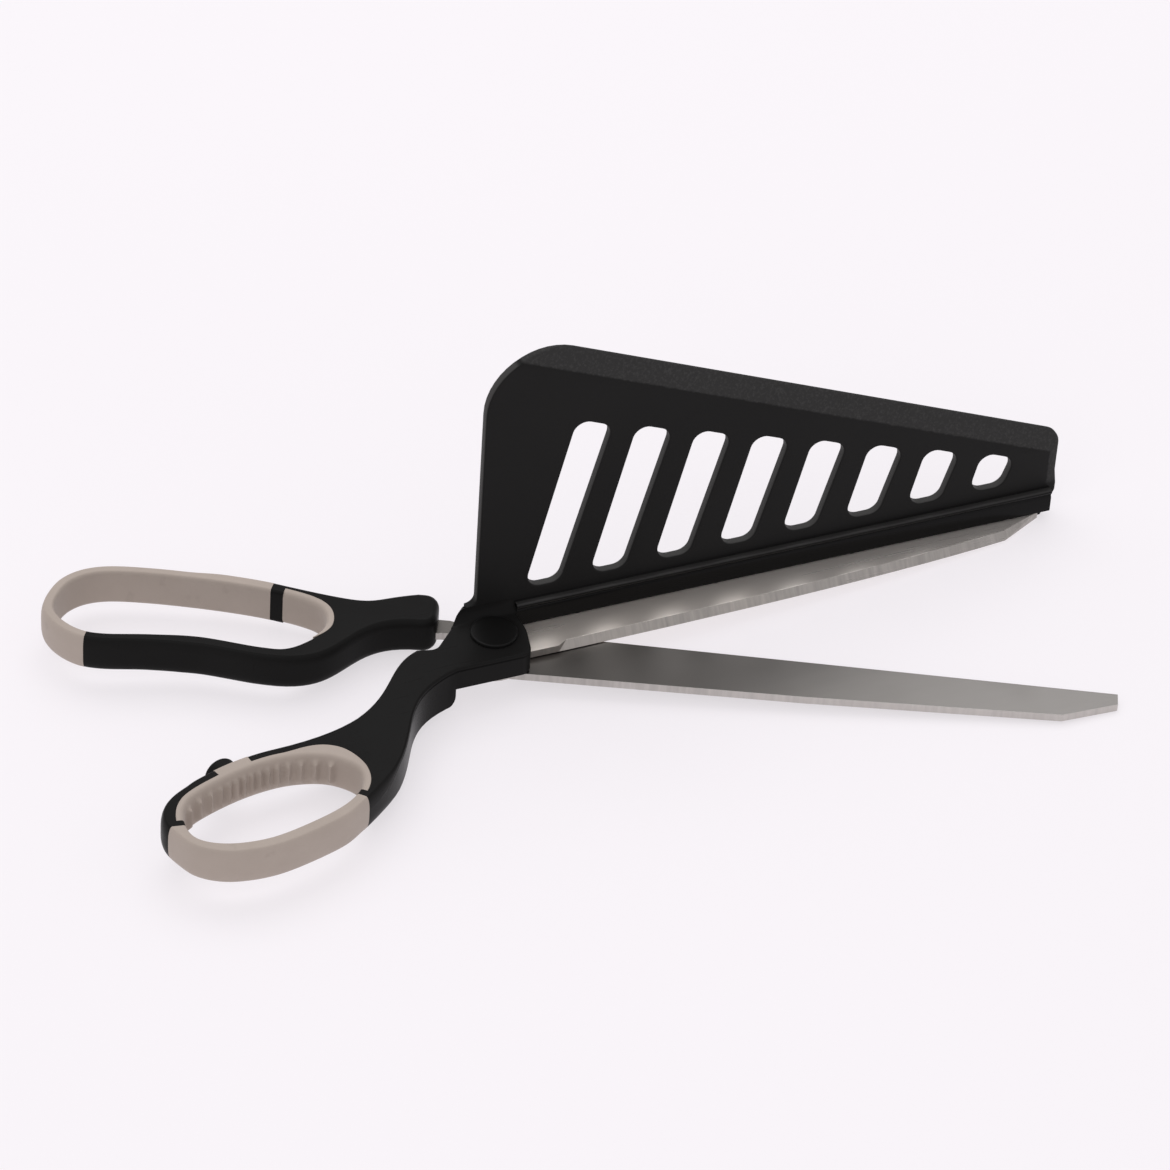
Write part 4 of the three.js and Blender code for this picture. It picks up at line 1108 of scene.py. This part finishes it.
def plate():
    """Slotted plate with eased edges, drawn as a flat curve and stood up."""
    rim = rounded(
        (
            (PLATE_LEFT, FLARE_TOP, FLARE),
            (PLATE_LEFT - FLARE, FLARE_TOP),
            (PLATE_LEFT - FLARE, PLATE_FOOT),
            (RAIL_LEFT, PLATE_FOOT),
            (RAIL_LEFT, RAIL_LEVEL),
            (BLADE_END, RAIL_LEVEL),
            (BLADE_END, SPATULA_LEVEL),
            (PLATE_RIGHT - PLATE_TOE[0], SPATULA_LEVEL),
            (PLATE_RIGHT, SPATULA_LEVEL + PLATE_TOE[1]),
            (PLATE_RIGHT, PLATE_TOP_RIGHT, PLATE_ROUND_RIGHT),
            (PLATE_LEFT, PLATE_TOP_LEFT, PLATE_ROUND_LEFT),
        ),
        steps=14,
    )
    curve = bpy.data.curves.new("plate", "CURVE")
    curve.dimensions = "2D"
    curve.fill_mode = "BOTH"
    curve.extrude = (PLATE_BACK - PLATE_FRONT) / 2 - PLATE_EDGE
    curve.bevel_depth = PLATE_EDGE
    curve.bevel_resolution = 2
    curve.offset = -PLATE_EDGE
    for outline in (rim, *(slot_outline(i) for i in range(SLOT_COUNT))):
        spline = curve.splines.new("POLY")
        spline.points.add(len(outline) - 1)
        for point, place in zip(spline.points, outline):
            point.co = (place.x, place.y, 0, 1)
        spline.use_cyclic_u = True
    drawn = bpy.data.objects.new("plate", curve)
    bpy.context.scene.collection.objects.link(drawn)
    bm = bmesh.new()
    bm.from_mesh(drawn.to_mesh())
    bpy.data.objects.remove(drawn)
    bmesh.ops.remove_doubles(bm, verts=bm.verts, dist=MERGE)
    middle = Matrix.Translation((0, (PLATE_FRONT + PLATE_BACK) / 2, 0))
    bm.transform(middle @ Matrix.Rotation(math.pi / 2, 4, "X"))
    bmesh.ops.recalc_face_normals(bm, faces=bm.faces)
    return bm


def bevelled(bm):
    """Plate with the slope along its top and its right end, which thins its front down to the edge."""
    along = Vector((PLATE_RIGHT - PLATE_LEFT, 0, PLATE_TOP_RIGHT - PLATE_TOP_LEFT)).normalized()
    up = Vector((-along.z, 0, along.x))
    edge = Vector((PLATE_LEFT, 0, PLATE_TOP_LEFT))
    thickness = PLATE_BACK - PLATE_FRONT
    end = PLATE_RIGHT - END_BEVEL_WIDTH
    fade = RAIL_TOP + 1
    split(bm, bm.faces[:], edge - up * BEVEL_WIDTH, up)
    split(bm, bm.faces[:], (end, 0, 0), (1, 0, 0))
    for height in (fade, fade + END_BEVEL_FADE):
        split(bm, [f for f in bm.faces if f.calc_center_median().x > end], (0, 0, height), (0, 0, 1))
    for v in bm.verts:
        rise = max((v.co - edge).dot(up) + BEVEL_WIDTH, 0) / BEVEL_WIDTH
        run = max(v.co.x - end, 0) / END_BEVEL_WIDTH * smooth((v.co.z - fade) / END_BEVEL_FADE)
        cut = max(rise * (thickness - BEVEL_EDGE), run * END_BEVEL_DEPTH)
        v.co.y = PLATE_BACK - (PLATE_BACK - v.co.y) * (1 - cut / thickness)
    return bm


def rail():
    """Rail over the blade's spine, with a bead along its top and a shallow groove under it."""
    back = PLATE_BACK - PLATE_EDGE
    profile = [(back, RAIL_LEVEL), (back, RAIL_TOP)]
    for a in (math.radians(d) for d in range(0, BEAD_TURN + 1, BEAD_STEP)):
        profile.append((RAIL_FRONT + BEAD_SET - BEAD * math.sin(a), RAIL_TOP - BEAD + BEAD * math.cos(a)))
    profile.append((RAIL_FRONT + GROOVE, RAIL_TOP - GROOVE_TOP))
    profile += [(RAIL_FRONT, RAIL_TOP - GROOVE_FOOT), (RAIL_FRONT, RAIL_LEVEL)]
    bm = prism([(RAIL_LEFT, y, z) for y, z in profile], (RAIL_RIGHT - RAIL_LEFT, 0, 0))
    return ease(bm, RAIL_EDGE, segments=2, sharp=60, least=100)


spatula = fused(bevelled(plate()), rail())
piece("spatula_moulding", spatula, SPATULA_HALF, ["spatula"], plate_black)


# Pivot cap and stop bumper


def cap_profile():
    """Disc with a faint crown, a rounded edge and a skirt in the housing's bore."""
    profile = [(radius, CAP_TOP + rise) for radius, rise in CAP_CROWN]
    for a in (math.radians(d) for d in CAP_ANGLES):
        profile.append((CAP_RADIUS - CAP_ROUND * (1 - math.sin(a)), CAP_TOP - CAP_ROUND * (1 - math.cos(a))))
    low, skirt = HOUSING_TOP + CAP_SEAT, HEAD_BORE - FIT
    return profile + [(CAP_RADIUS, low), (skirt, low), (skirt, HEAD_LEVEL), (0, HEAD_LEVEL)]


def bumper():
    """Rubber stop on a stem in the frame, with a rounded shoulder and a faint crown."""
    radius, shoulder, stem = BUMPER_RADIUS, BUMPER_SHOULDER, BUMPER_STEM
    profile = [(0, -BUMPER_ROOT), (stem, -BUMPER_ROOT), (stem, FIT)]
    profile += [(radius - BUMPER_FOOT, FIT), (radius, FIT + BUMPER_FOOT)]
    for a in quarter(9):
        height = BUMPER_LENGTH - shoulder * (1 - math.sin(a))
        profile.append((radius - shoulder * (1 - math.cos(a)), height))
    profile += [(inner, BUMPER_LENGTH + rise) for inner, rise in BUMPER_CROWN]
    place, normal = thumb.at(BUMPER_BEARING + BUMPER_SHIFT)
    place = (place + normal * thumb_rim(BUMPER_BEARING)).to_3d()
    place.z = BAND_MIDDLE - BUMPER_DROP
    bm = turned(profile, steps=48)
    aim = normal.to_3d().to_track_quat("Z", "Y").to_matrix().to_4x4()
    bm.transform(Matrix.Translation(place) @ aim)
    return bm


piece("pivot_cap_disc", turned(cap_profile()), SPATULA_HALF, ["pivot_cap"], cap_black)
piece("bumper_dome", bumper(), SPATULA_HALF, ["stop_bumper"], bumper_black)


# Blades and hardware


def honed(node):
    """Copy of a blade with its edges broken, as they leave the polishing wheel."""
    bm = bmesh.new()
    bm.from_mesh(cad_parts[node].data)
    bmesh.ops.scale(bm, vec=(1 / MM, 1 / MM, 1 / MM), verts=bm.verts)
    bmesh.ops.remove_doubles(bm, verts=bm.verts, dist=MERGE)
    bmesh.ops.dissolve_limit(bm, angle_limit=math.radians(FLAT_ANGLE), verts=bm.verts, edges=bm.edges)
    return ease(bm, BLADE_EDGE, segments=2, sharp=15)


spatula_blade = honed("spatula_blade")
piece("spatula_side_blade", spatula_blade, SPATULA_HALF, ["spatula_blade"], spatula_steel)
cutting_blade = honed("cutting_blade")
piece(
    "cutting_side_blade",
    cutting_blade,
    CUTTING_HALF,
    ["cutting_blade"],
    cutting_steel,
    shut=False,
)

HARDWARE = ["pivot_bolt", "pivot_nut", "head_washer", "blade_washer", "spring_washer"]
HARDWARE += [f"spatula_screw_{i}" for i in range(1, 5)]
for node in HARDWARE:
    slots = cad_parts[node].data.materials
    slots.clear()
    slots.append(zinc)


# Floor, light and camera


def floor():
    """Pale floor that the blades' tips touch. It glows like a light table, which lights the scissors from
    below and lightens the shadows cast on it.
    """
    lean = Vector(FLOOR_LEAN).normalized().to_track_quat("Z", "Y").to_matrix().to_4x4()
    bm = bmesh.new()
    bmesh.ops.create_grid(bm, x_segments=1, y_segments=1, size=FLOOR_REACH)
    bm.transform(Matrix.Translation((0, 0, -FLOOR_DROP * MM)) @ lean)
    finish = Finish("floor", Roughness=0.9, Specular_IOR_Level=0.05, Emission_Strength=1.0)
    finish.shader.inputs["Emission Color"].default_value = FLOOR_GLOW
    haze = finish.noise(finish.place(), scale=2.5, detail=1.0)
    finish.feed(Base_Color=finish.mix(haze, *FLOOR_TONES))
    mesh = mesh_of(bm, "floor")
    mesh.materials.append(finish.material)
    obj = bpy.data.objects.new("floor", mesh)
    bpy.context.scene.collection.objects.link(obj)


def softbox(name, place, size, power):
    """Broad light that looks at the pivot."""
    light = bpy.data.lights.new(name, "AREA")
    light.shape = "RECTANGLE"
    light.size, light.size_y = size
    light.energy = power
    obj = bpy.data.objects.new(name, light)
    obj.location = place
    obj.rotation_euler = (-Vector(place)).to_track_quat("-Z", "Y").to_euler()
    bpy.context.scene.collection.objects.link(obj)


def studio():
    """Even white surroundings, a softbox overhead and a weaker one at the near left."""
    world = bpy.data.worlds.new("studio")
    world.use_nodes = True
    background = world.node_tree.nodes["Background"].inputs
    background["Color"].default_value = STUDIO_TONE
    background["Strength"].default_value = STUDIO_STRENGTH
    bpy.context.scene.world = world
    softbox("overhead", place=(0.1, 0.7, 1.7), size=(1.8, 1.4), power=14)
    softbox("near_left", place=(-1.2, -1.0, 1.5), size=(1.2, 1.2), power=4)


def camera():
    """Camera where the photograph was taken."""
    lens = bpy.data.cameras.new("camera")
    lens.sensor_width = SENSOR
    lens.lens = SENSOR * FOCAL_PIXELS / FRAME_PIXELS
    obj = bpy.data.objects.new("camera", lens)
    obj.location = Vector(CAMERA_PLACE) * MM
    obj.rotation_euler = [math.radians(a) for a in CAMERA_TURN]
    bpy.context.scene.collection.objects.link(obj)
    bpy.context.scene.camera = obj


floor()
studio()
camera()
bpy.context.scene.view_settings.view_transform = "Standard"
